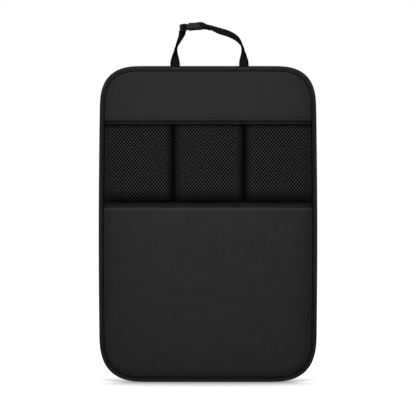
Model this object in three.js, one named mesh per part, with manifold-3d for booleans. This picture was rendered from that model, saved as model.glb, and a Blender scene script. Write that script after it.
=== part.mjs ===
// Seat back protector: a padded panel with three net pockets, hung by a buckled webbing loop.
// Millimetres. X runs across the panel, Z up, and the front faces -Y.
// The origin is the centre of the flat back face, which lies against the seat.
import * as THREE from 'three';
import { mergeVertices } from 'three/addons/utils/BufferGeometryUtils.js';
import Module from 'manifold-3d';

const wasm = await Module();
wasm.setup();

// Panel outline
const PANEL_WIDTH = 450;
const PANEL_HEIGHT = 650;
const TOP_CORNER_REACH = 88;
const BOTTOM_CORNER_REACH = 98;
const CORNER_SQUARENESS = 2.775;
const SIDE_BOW = 3.25;
const BOW_HEIGHT = -30;

// Layers of the panel, each the thickness of its own material
const GAP = 0.3;
const BACK_THICKNESS = 0.5;
const FOAM_THICKNESS = 5.1;
const FOAM_AT_EDGE = 0.5;
const COVER_THICKNESS = 0.8;
const EDGE_SLOPE_WIDTH = 14;
const SLOPE_CLEARANCE = 0.8;

// Binding tape folded round the edge
const TAPE_THICKNESS = 0.7;
const BINDING_WIDTH = 11;
const BINDING_CROWN = 0.5;

// Net pockets
const POCKET_TOP = 215.4;
const POCKET_HEM_WIDTH = 10.3;
const BASE_TAPE_HEIGHT = 39.6;
const BASE_TAPE_WIDTH = 11.9;
const SEAM_SLOPE_WIDTH = 13.4;
const LEFT_DIVIDER = -71.8;
const RIGHT_DIVIDER = 73.6;
const POCKET_DEPTH = 15;
const MOUTH_DEPTH = 12;
const POCKET_SQUARENESS = 4.5;
const POCKET_FOOT = 24;
const NET_THICKNESS = 0.8;
const NET_HEM_THICKNESS = 0.5;
const NET_RIDGE = 0.45;
const NET_STEPS_ACROSS = 16;
const NET_STEPS_UP = 16;
const NET_GAP_SHARE = 0.66;
const NET_UNDER_TAPE_EDGE = 2;

// Webbing loop
const WEBBING_WIDTH = 20;
const WEBBING_THICKNESS = 1.1;
const WEBBING_LAP = 11;
const SELVEDGE_WIDTH = 1.2;
const WEBBING_STEPS = 80;
const LEFT_STRAP_X = -67.8;
const RIGHT_STRAP_X = 73.9;
const STRAP_LEAN = 123.4;

// Side release buckle, built flat and then tilted with the webbing
const BUCKLE_X = -40;
const BUCKLE_RISE = 80.6;
const BUCKLE_SLOPE = 4.8;
const SOCKET_LENGTH = 29;
const SOCKET_THICKNESS = 7;
const SOCKET_WALL = 1.4;
const SOCKET_DEPTH = 17.5;
const SOCKET_WAIST = 0.6;
const WINDOW_START = 6;
const WINDOW_END = 13.5;
const SIDE_RAIL = 1.8;
const LADDER_LENGTH = 18.6;
const LADDER_THICKNESS = 4;
const BAR_WIDTH = 3.6;
const SLOT_LENGTH = 3.2;
const PRONG_THICKNESS = 3;
const LADDER_ROUNDING = 0.8;
const PRONG_WIDTH = 2.6;
const PRONG_ROOT = 3;
const GUIDE_WIDTH = 4;
const BARB_LENGTH = 3;
const BUCKLE_ROUNDING = 1.1;

// Sizes that follow from the ones above
const HALF_WIDTH = PANEL_WIDTH / 2;
const TOP = PANEL_HEIGHT / 2;
const EDGE_BACK = WEBBING_THICKNESS + GAP + TAPE_THICKNESS + GAP;
const EDGE_FRONT = EDGE_BACK + BACK_THICKNESS + GAP + FOAM_AT_EDGE + GAP + COVER_THICKNESS;
const PANEL_FRONT = BACK_THICKNESS + GAP + FOAM_THICKNESS + GAP + COVER_THICKNESS;
const LAYER_INSET = TAPE_THICKNESS + GAP;
const SLOPE_START = BINDING_WIDTH + SLOPE_CLEARANCE;
const POCKET_SIDE_INSET = BINDING_WIDTH + 2 * GAP;

const finish = (color, roughness, metalness = 0) =>
  new THREE.MeshStandardMaterial({ color, roughness, metalness });
const coverFinish = finish(0x2f2f31, 0.6);
const foamFinish = finish(0x55565a, 0.95);
const backFinish = finish(0x26262a, 0.85);
const bindingFinish = finish(0x1f1f21, 0.75);
const netFinish = finish(0x2a2a2b, 0.8);
const webbingFinish = finish(0x1a1a1c, 0.8);
const buckleFinish = finish(0x18181a, 0.4);

const radians = THREE.MathUtils.degToRad;
const rise = (share) => Math.sin(Math.PI / 2 * THREE.MathUtils.clamp(share, 0, 1));

function meshFrom(name, points, faces, material) {
  const geometry = new THREE.BufferGeometry();
  geometry.setAttribute('position', new THREE.Float32BufferAttribute(points.flat(), 3));
  geometry.setIndex(faces.flat());
  geometry.computeVertexNormals();
  const mesh = new THREE.Mesh(geometry, material);
  mesh.name = name;
  return mesh;
}

// Quads between two loops or rows of points, wound so that they face the viewer
function joinLoops(faces, outer, inner, count) {
  for (let k = 0; k < count; k += 1) {
    const next = (k + 1) % count;
    faces.push([outer + k, outer + next, inner + next], [outer + k, inner + next, inner + k]);
  }
}

// A point of the outline on the right-hand side, 0 degrees at the side and 90 at the end
function cornerPoint(degrees, reach, end) {
  const power = 2 / CORNER_SQUARENESS;
  const z = end * (TOP - reach + reach * Math.sin(radians(degrees)) ** power);
  const x = sideAt(z) - reach * (1 - Math.cos(radians(degrees)) ** power);
  return [x, z];
}

function sideAt(z) {
  return HALF_WIDTH - SIDE_BOW * ((z - BOW_HEIGHT) / TOP) ** 2;
}

// Heights of the rows up the straight side, close together where the base seam pulls the cover in
function sideHeights() {
  const lowest = BOTTOM_CORNER_REACH - TOP;
  const highest = TOP - TOP_CORNER_REACH;
  const seam = [0.03, 0.3, 0.62, 1].map((share) => BASE_TAPE_WIDTH / 2 + share * SEAM_SLOPE_WIDTH);
  const below = seam.map((step) => BASE_TAPE_HEIGHT - step).reverse();
  const above = seam.map((step) => BASE_TAPE_HEIGHT + step);
  const thirds = [0.36, 0.72].map((share) => THREE.MathUtils.lerp(lowest, below[0], share));
  const behind = THREE.MathUtils.lerp(above[3], highest, 0.5);
  return [...thirds, ...below, ...above, behind];
}

// Stations round the outline, counter-clockwise from the front, starting at the lower left corner
const CORNER_ANGLES = [45, 56.25, 67.5, 78.75, 90];
const bottomHalf = CORNER_ANGLES.map((a) => cornerPoint(a, BOTTOM_CORNER_REACH, -1));
const topHalf = CORNER_ANGLES.map((a) => cornerPoint(a, TOP_CORNER_REACH, 1));
const lowerCorner = CORNER_ANGLES.slice(1).map((a) => cornerPoint(90 - a, BOTTOM_CORNER_REACH, -1));
const upperCorner = CORNER_ANGLES.slice(1).map((a) => cornerPoint(90 - a, TOP_CORNER_REACH, 1)).reverse();
const endRow = (half) => {
  const [x, z] = half[half.length - 1];
  const right = [[0, z], [x / 2, z], ...[...half].reverse()];
  return [...right.slice(1).reverse().map(([px, pz]) => [-px, pz]), ...right];
};
const bottomRow = endRow(bottomHalf);
const topRow = endRow(topHalf);
const rightColumn = [...lowerCorner, ...sideHeights().map((z) => [sideAt(z), z]), ...upperCorner];
const COLUMNS = bottomRow.length - 1;
const ROWS = rightColumn.length + 1;

function outlineStations() {
  const left = [...rightColumn].reverse().map(([x, z]) => [-x, z]);
  const loop = [...bottomRow, ...rightColumn, ...[...topRow].reverse(), ...left];
  return loop.map(([x, z], k) => {
    const [ax, az] = loop[(k + loop.length - 1) % loop.length];
    const [bx, bz] = loop[(k + 1) % loop.length];
    const length = Math.hypot(bx - ax, bz - az);
    return { x, z, nx: (bz - az) / length, nz: (ax - bx) / length };
  });
}
const OUTLINE = outlineStations();
const insetPoint = (station, inset) => [station.x - inset * station.nx, station.z - inset * station.nz];

// Depth of each face of the padded panel behind or in front of the back plane
const slopeShare = (inset) => rise((inset - SLOPE_START) / EDGE_SLOPE_WIDTH);
const backLevel = (inset) => EDGE_BACK * (1 - slopeShare(inset));
function frontLevel(inset, z) {
  const fromSeam = Math.abs(z - BASE_TAPE_HEIGHT) - BASE_TAPE_WIDTH / 2;
  const pad = slopeShare(inset) * rise(fromSeam / SEAM_SLOPE_WIDTH);
  return EDGE_FRONT + (PANEL_FRONT - EDGE_FRONT) * pad;
}

// One face of a layer: rings in from the edge, then rows across or one flat field
const RING_INSETS = [0, 0.25, 0.6, 1].map((share) => SLOPE_START + share * EDGE_SLOPE_WIDTH);
function layerFace(level, withRows) {
  const points = [];
  const faces = [];
  const count = OUTLINE.length;
  const rings = [LAYER_INSET, ...RING_INSETS];
  rings.forEach((inset) => OUTLINE.forEach((station) => {
    const [x, z] = insetPoint(station, inset);
    points.push([x, -level(inset, z), z]);
  }));
  rings.slice(1).forEach((_, ring) => joinLoops(faces, ring * count, (ring + 1) * count, count));
  const inner = (rings.length - 1) * count;
  if (withRows) {
    fillRows(points, faces, inner, level);
  } else {
    const contour = points.slice(inner).map(([x, , z]) => new THREE.Vector2(x, z));
    const flat = THREE.ShapeUtils.triangulateShape(contour, []);
    flat.forEach((face) => faces.push(face.map((k) => inner + k)));
  }
  return { points, faces };
}

function fillRows(points, faces, inner, level) {
  const start = points.length;
  const loopIndex = (row, column) => {
    if (row === 0) return inner + column;
    if (column === COLUMNS) return inner + COLUMNS + row;
    if (row === ROWS) return inner + COLUMNS + ROWS + COLUMNS - column;
    if (column === 0) return inner + 2 * COLUMNS + ROWS + ROWS - row;
    return start + (row - 1) * (COLUMNS - 1) + column - 1;
  };
  for (let row = 1; row < ROWS; row += 1) {
    const [x, , z] = points[loopIndex(row, COLUMNS)];
    for (let column = 1; column < COLUMNS; column += 1) {
      const share = topRow[column][0] / topRow[COLUMNS][0];
      points.push([share * x, -level(RING_INSETS[RING_INSETS.length - 1], z), z]);
    }
  }
  for (let row = 0; row < ROWS; row += 1) {
    for (let column = 0; column < COLUMNS; column += 1) {
      const a = loopIndex(row, column);
      const b = loopIndex(row, column + 1);
      const c = loopIndex(row + 1, column + 1);
      const d = loopIndex(row + 1, column);
      faces.push([a, b, c], [a, c, d]);
    }
  }
}

// A layer of the panel closed between its front and back faces
function layer(name, front, back, material) {
  const points = [...front.points, ...back.points];
  const start = front.points.length;
  const faces = [...front.faces, ...back.faces.map(([a, b, c]) => [start + a, start + c, start + b])];
  joinLoops(faces, start, 0, OUTLINE.length);
  return meshFrom(name, points, faces, material);
}

function frontCover() {
  const outside = layerFace((inset, z) => frontLevel(inset, z), true);
  const inside = layerFace((inset, z) => frontLevel(inset, z) - COVER_THICKNESS, true);
  return layer('front_cover', outside, inside, coverFinish);
}

function foamCore() {
  const outside = layerFace((inset, z) => frontLevel(inset, z) - COVER_THICKNESS - GAP, true);
  const inside = layerFace((inset) => backLevel(inset) + BACK_THICKNESS + GAP, false);
  return layer('foam_core', outside, inside, foamFinish);
}

function backCover() {
  const outside = layerFace((inset) => backLevel(inset) + BACK_THICKNESS, false);
  const inside = layerFace((inset) => backLevel(inset), false);
  return layer('back_cover', outside, inside, backFinish);
}

// The binding is one tape folded round the edge: its section is swept round the outline
function edgeBinding() {
  const front = EDGE_FRONT + GAP;
  const back = EDGE_BACK - GAP;
  const crown = front + TAPE_THICKNESS + BINDING_CROWN;
  const section = [
    [BINDING_WIDTH, front + TAPE_THICKNESS * 0.8],
    [BINDING_WIDTH * 0.62, crown - BINDING_CROWN / 2],
    [BINDING_WIDTH * 0.3, crown],
    [TAPE_THICKNESS, crown - BINDING_CROWN / 2],
    [0, front - TAPE_THICKNESS / 2],
    [0, back + TAPE_THICKNESS / 2],
    [TAPE_THICKNESS, back - TAPE_THICKNESS],
    [BINDING_WIDTH, back - TAPE_THICKNESS],
    [BINDING_WIDTH, back],
    [TAPE_THICKNESS, back],
    [TAPE_THICKNESS, front],
    [BINDING_WIDTH, front],
  ];
  const points = [];
  const faces = [];
  const count = OUTLINE.length;
  section.forEach(([inset, depth]) => OUTLINE.forEach((station) => {
    const [x, z] = insetPoint(station, inset);
    points.push([x, -depth, z]);
  }));
  section.forEach((_, k) => {
    joinLoops(faces, ((k + 1) % section.length) * count, k * count, count);
  });
  return meshFrom('edge_binding', points, faces, bindingFinish);
}

// Where the net, its hem and its base tape end beside the binding
const pocketSide = (z) => sideAt(z) - POCKET_SIDE_INSET;

// Stations across the three pockets, evenly spaced along the bulging net
function pocketStations() {
  const walls = [-pocketSide(POCKET_TOP), LEFT_DIVIDER, RIGHT_DIVIDER, pocketSide(POCKET_TOP)];
  const stations = [];
  walls.slice(1).forEach((right, k) => {
    const left = walls[k];
    const half = (right - left) / 2;
    const bulge = (share) => 1 - Math.abs(share) ** POCKET_SQUARENESS;
    const curve = new THREE.SplineCurve(Array.from({ length: 41 }, (_, n) => {
      const share = n / 20 - 1;
      return new THREE.Vector2(left + half * (1 + share), POCKET_DEPTH * bulge(share));
    }));
    curve.getSpacedPoints(NET_STEPS_ACROSS).slice(k === 0 ? 0 : 1).forEach(({ x }) => {
      stations.push({ x, bulge: bulge((x - left) / half - 1) });
    });
  });
  return stations;
}
const STATIONS = pocketStations();

// The outer stations follow the bowed side of the panel
function stationX(station, z) {
  const reach = pocketSide(POCKET_TOP);
  return station.x * (1 + (pocketSide(z) / reach - 1) * Math.abs(station.x / reach));
}

const NET_FOOT = BASE_TAPE_HEIGHT + BASE_TAPE_WIDTH / 2 + GAP;
const NET_HEAD = POCKET_TOP - POCKET_HEM_WIDTH - GAP;
const NET_IN_HEM = NET_HEAD + POCKET_HEM_WIDTH - TAPE_THICKNESS - GAP;
const NET_UNDER_TAPE = BASE_TAPE_HEIGHT - BASE_TAPE_WIDTH / 2 + NET_UNDER_TAPE_EDGE;
const HEM_BACK = PANEL_FRONT + GAP;
const NET_BACK_IN_HEM = HEM_BACK + TAPE_THICKNESS + GAP;

// Depth of the back of the net at a height, at a share of the full bulge
function netBack(bulge, z) {
  if (z < NET_FOOT) return EDGE_FRONT + GAP;
  const up = z - NET_FOOT;
  const step = (NET_HEAD - NET_FOOT) / NET_STEPS_UP;
  const rest = THREE.MathUtils.lerp(EDGE_FRONT + GAP, HEM_BACK, Math.min(1, up / step));
  const head = (NET_BACK_IN_HEM - HEM_BACK) * rise(2 - (NET_HEAD - z) / step);
  const share = Math.min(1, up / (NET_HEAD - NET_FOOT));
  const belly = THREE.MathUtils.lerp(POCKET_DEPTH, MOUTH_DEPTH, share ** 2);
  return rest + head + bulge * belly * rise(up / POCKET_FOOT) ** 0.8;
}

// The net is a sheet of grid points: its columns are the stations and its rows the heights
const netRow = (_, j) => NET_FOOT + (NET_HEAD - NET_FOOT) * j / NET_STEPS_UP;
const MESH_HEIGHTS = Array.from({ length: NET_STEPS_UP + 1 }, netRow);
const NET_HEIGHTS = [NET_UNDER_TAPE, ...MESH_HEIGHTS, NET_IN_HEM];
const NET_COLUMNS = STATIONS.length - 1;
const NET_ROWS = NET_HEIGHTS.length - 1;
const netIndex = (i, j, side) => (side * (NET_ROWS + 1) + j) * (NET_COLUMNS + 1) + i;

// Ridges cross at every other point of the grid, and the points between them are pits
function netPoint(i, j, side) {
  const sewnDown = j <= 1 || j >= NET_ROWS - 1;
  const ridge = (i + j) % 2 === 0 ? NET_RIDGE : -NET_RIDGE / 2;
  const thickness = sewnDown ? NET_HEM_THICKNESS : NET_THICKNESS + ridge;
  const depth = netBack(STATIONS[i].bulge, NET_HEIGHTS[j]) + (side === 0 ? thickness : 0);
  return [stationX(STATIONS[i], NET_HEIGHTS[j]), -depth, NET_HEIGHTS[j]];
}

// One pit in four is open, away from the border and from the seams at the two dividers
function isOpenPit(i, j) {
  const onSeam = i % NET_STEPS_ACROSS === 0;
  const onBorder = j <= 1 || j >= NET_ROWS - 1;
  return !onSeam && !onBorder && (i + j) % 4 === 1 && (i - j + 4 * NET_ROWS) % 4 === 1;
}

// The rim of an open pit, front and back, and the walls of the gap through the net
function openPit(points, faces, i, j) {
  const rim = [[i + 1, j], [i, j + 1], [i - 1, j], [i, j - 1]];
  const corners = [0, 1].map((side) => rim.map(([ci, cj]) => {
    const pit = points[netIndex(i, j, side)];
    const knot = points[netIndex(ci, cj, side)];
    points.push(pit.map((v, n) => THREE.MathUtils.lerp(v, knot[n], NET_GAP_SHARE)));
    return points.length - 1;
  }));
  rim.forEach((_, k) => {
    const next = (k + 1) % rim.length;
    const [a, b] = [corners[0][k], corners[0][next]];
    const [c, d] = [corners[1][k], corners[1][next]];
    faces.push([a, d, c], [a, b, d]);
  });
  return { rim, corners };
}

// The faces between a pit and the two ridge points a and b beside it
function pitFaces(faces, gap, side, pit, a, b) {
  const add = (p, q, r) => faces.push(side === 0 ? [p, q, r] : [p, r, q]);
  const [ia, ib] = [netIndex(...a, side), netIndex(...b, side)];
  if (!gap) {
    add(netIndex(...pit, side), ia, ib);
    return;
  }
  const onRim = (p) => gap.rim.findIndex(([x, y]) => x === p[0] && y === p[1]);
  const cornerBeside = (p) => gap.corners[side][onRim(p)];
  add(cornerBeside(a), ia, ib);
  add(cornerBeside(a), ib, cornerBeside(b));
}

// The walls along the four edges of the net
function netEdgeFaces() {
  const border = [];
  for (let i = 0; i < NET_COLUMNS; i += 1) border.push([i, 0]);
  for (let j = 0; j < NET_ROWS; j += 1) border.push([NET_COLUMNS, j]);
  for (let i = NET_COLUMNS; i > 0; i -= 1) border.push([i, NET_ROWS]);
  for (let j = NET_ROWS; j > 0; j -= 1) border.push([0, j]);
  return border.flatMap((from, k) => {
    const to = border[(k + 1) % border.length];
    const [a, b] = [netIndex(...from, 0), netIndex(...to, 0)];
    const [c, d] = [netIndex(...from, 1), netIndex(...to, 1)];
    return [[a, c, d], [a, d, b]];
  });
}

function pocketNet() {
  const points = [];
  for (let side = 0; side < 2; side += 1) {
    for (let j = 0; j <= NET_ROWS; j += 1) {
      for (let i = 0; i <= NET_COLUMNS; i += 1) points.push(netPoint(i, j, side));
    }
  }
  const faces = netEdgeFaces();
  const gaps = new Map();
  for (let j = 0; j <= NET_ROWS; j += 1) {
    for (let i = 0; i <= NET_COLUMNS; i += 1) {
      if (isOpenPit(i, j)) gaps.set(netIndex(i, j, 0), openPit(points, faces, i, j));
    }
  }
  const addPit = (side, pit, a, b) => pitFaces(faces, gaps.get(netIndex(...pit, 0)), side, pit, a, b);
  for (let side = 0; side < 2; side += 1) {
    for (let j = 0; j < NET_ROWS; j += 1) {
      for (let i = 0; i < NET_COLUMNS; i += 1) {
        if ((i + j) % 2 === 0) {
          addPit(side, [i + 1, j], [i + 1, j + 1], [i, j]);
          addPit(side, [i, j + 1], [i, j], [i + 1, j + 1]);
        } else {
          addPit(side, [i, j], [i + 1, j], [i, j + 1]);
          addPit(side, [i + 1, j + 1], [i, j + 1], [i + 1, j]);
        }
      }
    }
  }
  return meshFrom('pocket_net', points, faces, netFinish);
}

// The hem is one tape folded over the top edge of the net, along all three mouths
function pocketHem() {
  const low = POCKET_TOP - POCKET_HEM_WIDTH;
  const fold = POCKET_TOP - TAPE_THICKNESS;
  const slack = GAP;
  const inside = NET_HEM_THICKNESS + 2 * slack;
  const section = [
    [low, -TAPE_THICKNESS], [low, 0], [fold, 0], [fold, inside], [low, inside],
    [low, inside + TAPE_THICKNESS], [fold, inside + TAPE_THICKNESS],
    [POCKET_TOP, inside], [POCKET_TOP, 0], [fold, -TAPE_THICKNESS],
  ];
  const points = [];
  STATIONS.forEach((station) => section.forEach(([z, out]) => {
    const depth = netBack(station.bulge, NET_HEAD + GAP) - slack + out;
    points.push([stationX(station, POCKET_TOP), -depth, z]);
  }));
  return meshFrom('pocket_hem', points, tubeFaces(STATIONS.length, section, true), bindingFinish);
}

// Faces of a body swept through stations, with both ends capped
function tubeFaces(stations, section, flipped) {
  const size = section.length;
  const faces = [];
  const add = (a, b, c) => faces.push(flipped ? [a, c, b] : [a, b, c]);
  for (let s = 0; s + 1 < stations; s += 1) {
    for (let k = 0; k < size; k += 1) {
      const next = (k + 1) % size;
      const [a, b] = [s * size + k, s * size + next];
      const [c, d] = [a + size, b + size];
      add(a, b, d);
      add(a, d, c);
    }
  }
  const contour = section.map(([u, v]) => new THREE.Vector2(u, v));
  const turned = THREE.ShapeUtils.isClockWise(contour);
  const last = (stations - 1) * size;
  THREE.ShapeUtils.triangulateShape(contour, []).forEach(([a, b, c]) => {
    const [p, q] = turned ? [c, b] : [b, c];
    add(a, q, p);
    add(last + a, last + p, last + q);
  });
  return faces;
}

// The base tape holds the lower edge of the net down on the panel
function baseTape() {
  const back = EDGE_FRONT + GAP + NET_HEM_THICKNESS + GAP;
  const half = BASE_TAPE_WIDTH / 2;
  const section = [
    [-half, back], [half, back], [half, back + TAPE_THICKNESS * 0.7],
    [half * 0.6, back + TAPE_THICKNESS], [-half * 0.6, back + TAPE_THICKNESS],
    [-half, back + TAPE_THICKNESS * 0.7],
  ];
  const points = [];
  const side = pocketSide(BASE_TAPE_HEIGHT);
  const places = [-side, LEFT_DIVIDER, RIGHT_DIVIDER, side];
  places.forEach((x) => section.forEach(([z, depth]) => points.push([x, -depth, BASE_TAPE_HEIGHT + z])));
  return meshFrom('pocket_base_tape', points, tubeFaces(places.length, section, false), bindingFinish);
}

// A closed mesh from a solid of the boolean library, and back again
function solidOf(geometry) {
  const bare = geometry.index ? geometry.toNonIndexed() : geometry;
  bare.deleteAttribute('normal');
  bare.deleteAttribute('uv');
  const merged = mergeVertices(bare, 1e-4);
  return new wasm.Manifold(new wasm.Mesh({
    numProp: 3,
    vertProperties: merged.getAttribute('position').array,
    triVerts: new Uint32Array(merged.index.array),
  }));
}

function meshOf(name, solid, material) {
  const { vertProperties, triVerts } = solid.getMesh();
  const geometry = new THREE.BufferGeometry();
  geometry.setAttribute('position', new THREE.BufferAttribute(vertProperties, 3));
  geometry.setIndex(new THREE.BufferAttribute(triVerts, 1));
  geometry.computeVertexNormals();
  const mesh = new THREE.Mesh(geometry, material);
  mesh.name = name;
  return mesh;
}

// A flat moulding with rounded edges: x along the buckle, z across it, thickness in y
function moulding(outline, thickness, rounding) {
  const geometry = new THREE.ExtrudeGeometry(outline, {
    depth: thickness - 2 * rounding,
    bevelThickness: rounding,
    bevelSize: rounding,
    bevelOffset: -rounding,
    bevelSegments: 2,
    curveSegments: 4,
    bevelEnabled: rounding > 0,
  });
  geometry.rotateX(Math.PI / 2);
  geometry.translate(0, thickness / 2 - rounding, 0);
  return solidOf(geometry);
}

function roundedOutline(left, right, halfWidth, radius) {
  const shape = new THREE.Shape();
  shape.moveTo(left + radius, -halfWidth);
  shape.lineTo(right - radius, -halfWidth);
  shape.absarc(right - radius, radius - halfWidth, radius, -Math.PI / 2, 0);
  shape.lineTo(right, halfWidth - radius);
  shape.absarc(right - radius, halfWidth - radius, radius, 0, Math.PI / 2);
  shape.lineTo(left + radius, halfWidth);
  shape.absarc(left + radius, halfWidth - radius, radius, Math.PI / 2, Math.PI);
  shape.lineTo(left, radius - halfWidth);
  shape.absarc(left + radius, radius - halfWidth, radius, Math.PI, 1.5 * Math.PI);
  return shape;
}

function block(x0, x1, y0, y1, z0, z1) {
  const geometry = new THREE.BoxGeometry(x1 - x0, y1 - y0, z1 - z0);
  geometry.translate((x0 + x1) / 2, (y0 + y1) / 2, (z0 + z1) / 2);
  return solidOf(geometry);
}

// Sizes that both halves of the buckle share
const SLOT_HALF = WEBBING_WIDTH / 2 + GAP;
const BUCKLE_HALF = SLOT_HALF + SIDE_RAIL;
const CAVITY_HALF = BUCKLE_HALF - SOCKET_WALL;
const CAVITY_THICKNESS = SOCKET_THICKNESS - 2 * SOCKET_WALL;

// The socket's outline: rounded at its mouth and waisted where fingers press the prongs
function socketOutline() {
  const mouth = 3;
  const corner = 4;
  const hip = SOCKET_LENGTH - 2 * corner;
  const waist = BUCKLE_HALF - 2 * SOCKET_WAIST;
  const shape = new THREE.Shape();
  shape.moveTo(0, mouth - BUCKLE_HALF);
  shape.quadraticCurveTo(0, -BUCKLE_HALF, mouth, -BUCKLE_HALF);
  shape.quadraticCurveTo((mouth + hip) / 2, -waist, hip, -BUCKLE_HALF);
  shape.lineTo(SOCKET_LENGTH - corner, -BUCKLE_HALF);
  shape.absarc(SOCKET_LENGTH - corner, corner - BUCKLE_HALF, corner, -Math.PI / 2, 0);
  shape.lineTo(SOCKET_LENGTH, BUCKLE_HALF - corner);
  shape.absarc(SOCKET_LENGTH - corner, BUCKLE_HALF - corner, corner, 0, Math.PI / 2);
  shape.lineTo(hip, BUCKLE_HALF);
  shape.quadraticCurveTo((mouth + hip) / 2, waist, mouth, BUCKLE_HALF);
  shape.quadraticCurveTo(0, BUCKLE_HALF, 0, BUCKLE_HALF - mouth);
  return shape;
}

// Socket half: hollow, with a window in each side for the prongs and a bar for the webbing
function socketSolid() {
  const body = moulding(socketOutline(), SOCKET_THICKNESS, BUCKLE_ROUNDING);
  const deep = CAVITY_THICKNESS / 2;
  const cavity = block(-1, SOCKET_DEPTH, -deep, deep, -CAVITY_HALF, CAVITY_HALF);
  const windows = block(WINDOW_START, WINDOW_END, -deep, deep, -2 * BUCKLE_HALF, 2 * BUCKLE_HALF);
  const slotEnd = SOCKET_LENGTH - BAR_WIDTH;
  const slotStart = slotEnd - SLOT_LENGTH;
  const slot = block(slotStart, slotEnd, -SOCKET_THICKNESS, SOCKET_THICKNESS, -SLOT_HALF, SLOT_HALF);
  const thin = (SOCKET_THICKNESS - LADDER_THICKNESS) / 2;
  const halfThick = SOCKET_THICKNESS / 2;
  const shoulders = [-1, 1].map((side) => {
    const y0 = side < 0 ? -halfThick - 1 : halfThick - thin;
    return block(slotStart, SOCKET_LENGTH + 1, y0, y0 + thin + 1, -SLOT_HALF, SLOT_HALF);
  });
  return [cavity, windows, slot, ...shoulders].reduce((solid, cut) => solid.subtract(cut), body);
}

// Prong half: a ladder of bars for the webbing, a guide and two springy prongs with barbs
function prongSolid() {
  const outline = roundedOutline(-LADDER_LENGTH, -2 * GAP, BUCKLE_HALF - LADDER_ROUNDING, 3);
  const ladder = moulding(outline, LADDER_THICKNESS, LADDER_ROUNDING);
  const slots = ladderSlots().map(([x0, x1]) =>
    block(x0, x1, -LADDER_THICKNESS, LADDER_THICKNESS, -SLOT_HALF, SLOT_HALF));
  const thick = PRONG_THICKNESS / 2;
  const halfGuide = GUIDE_WIDTH / 2;
  const guide = block(-PRONG_ROOT, SOCKET_DEPTH - 2, -thick, thick, -halfGuide, halfGuide);
  const reach = CAVITY_HALF - 2 * GAP;
  const barb = BUCKLE_HALF - GAP;
  const inside = reach - PRONG_WIDTH;
  const tip = SOCKET_DEPTH - 2;
  const barbTop = WINDOW_START + BARB_LENGTH;
  const prongs = [-1, 1].map((side) => {
    const shape = new THREE.Shape();
    shape.moveTo(-PRONG_ROOT, side * inside);
    shape.quadraticCurveTo(WINDOW_START, side * inside, tip - 2, side * (inside - 0.8));
    shape.quadraticCurveTo(tip, side * inside, tip, side * (inside + 1));
    shape.lineTo(WINDOW_END - GAP, side * reach);
    shape.quadraticCurveTo(barbTop + 1, side * barb, barbTop, side * barb);
    shape.lineTo(WINDOW_START + GAP, side * barb);
    shape.lineTo(WINDOW_START + GAP, side * reach);
    shape.lineTo(-PRONG_ROOT, side * reach);
    return moulding(shape, PRONG_THICKNESS, 0);
  });
  const whole = prongs.reduce((solid, prong) => solid.add(prong), ladder.add(guide));
  return slots.reduce((solid, slot) => solid.subtract(slot), whole);
}

// The two slots of the ladder: first the inner one, then the one beside the end bar
function ladderSlots() {
  const inner = -LADDER_LENGTH + 2 * BAR_WIDTH + 2 * SLOT_LENGTH + 1;
  const outer = -LADDER_LENGTH + BAR_WIDTH + SLOT_LENGTH;
  return [[inner - SLOT_LENGTH, inner], [outer - SLOT_LENGTH, outer]];
}

// The buckle's place: its slope to the side, then its lean with the webbing
const buckleSlope = new THREE.Group();
buckleSlope.position.set(BUCKLE_X, 0, TOP + BUCKLE_RISE);
buckleSlope.rotation.y = -radians(BUCKLE_SLOPE);
const buckleLean = new THREE.Group();
buckleLean.rotation.x = -radians(180 - STRAP_LEAN);
buckleSlope.add(buckleLean);
buckleLean.add(
  meshOf('buckle_socket', socketSolid(), buckleFinish),
  meshOf('buckle_prongs', prongSolid(), buckleFinish),
);
buckleSlope.updateMatrixWorld(true);
const onBuckle = (x, y) => buckleLean.localToWorld(new THREE.Vector3(x, y, 0));
const buckleAcross = buckleLean.localToWorld(new THREE.Vector3(0, 0, 1)).sub(onBuckle(0, 0));

// A stop on a strap's route: its place, and the direction of the webbing's width there
function threaded(x, y, side) {
  return { at: onBuckle(x, y), across: buckleAcross.clone().multiplyScalar(side) };
}
function free(x, y, up, heading, twist) {
  const flat = new THREE.Vector3(Math.sin(radians(heading)), 0, -Math.cos(radians(heading)));
  const across = flat.multiplyScalar(Math.cos(radians(twist)));
  across.y += Math.sin(radians(twist));
  return { at: new THREE.Vector3(x, y, TOP + up), across };
}

// Webbing with a flat section and thin selvedges, swept along its stops
function webbing(name, stops, steps) {
  const route = new THREE.CatmullRomCurve3(stops.map((stop) => stop.at), false, 'centripetal');
  const widths = new THREE.CatmullRomCurve3(stops.map((stop) => stop.across), false, 'catmullrom');
  const half = WEBBING_WIDTH / 2;
  const body = half - SELVEDGE_WIDTH;
  const thick = WEBBING_THICKNESS / 2;
  const section = [
    [-half, 0], [-body, -thick], [body, -thick],
    [half, 0], [body, thick], [-body, thick],
  ];
  const points = [];
  for (let n = 0; n <= steps; n += 1) {
    const t = n / steps;
    const centre = route.getPoint(t);
    const along = route.getTangent(t);
    const out = new THREE.Vector3().crossVectors(along, widths.getPoint(t)).normalize();
    const across = new THREE.Vector3().crossVectors(out, along).normalize();
    section.forEach(([u, v]) => {
      const p = centre.clone().addScaledVector(across, u).addScaledVector(out, v);
      points.push(p.toArray());
    });
  }
  return meshFrom(name, points, tubeFaces(steps + 1, section, false), webbingFinish);
}

const LAP_Y = -WEBBING_THICKNESS / 2;
const LAYER_STEP = WEBBING_THICKNESS + GAP;
const OVER_BAR = LADDER_THICKNESS / 2 + GAP + WEBBING_THICKNESS / 2;

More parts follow.
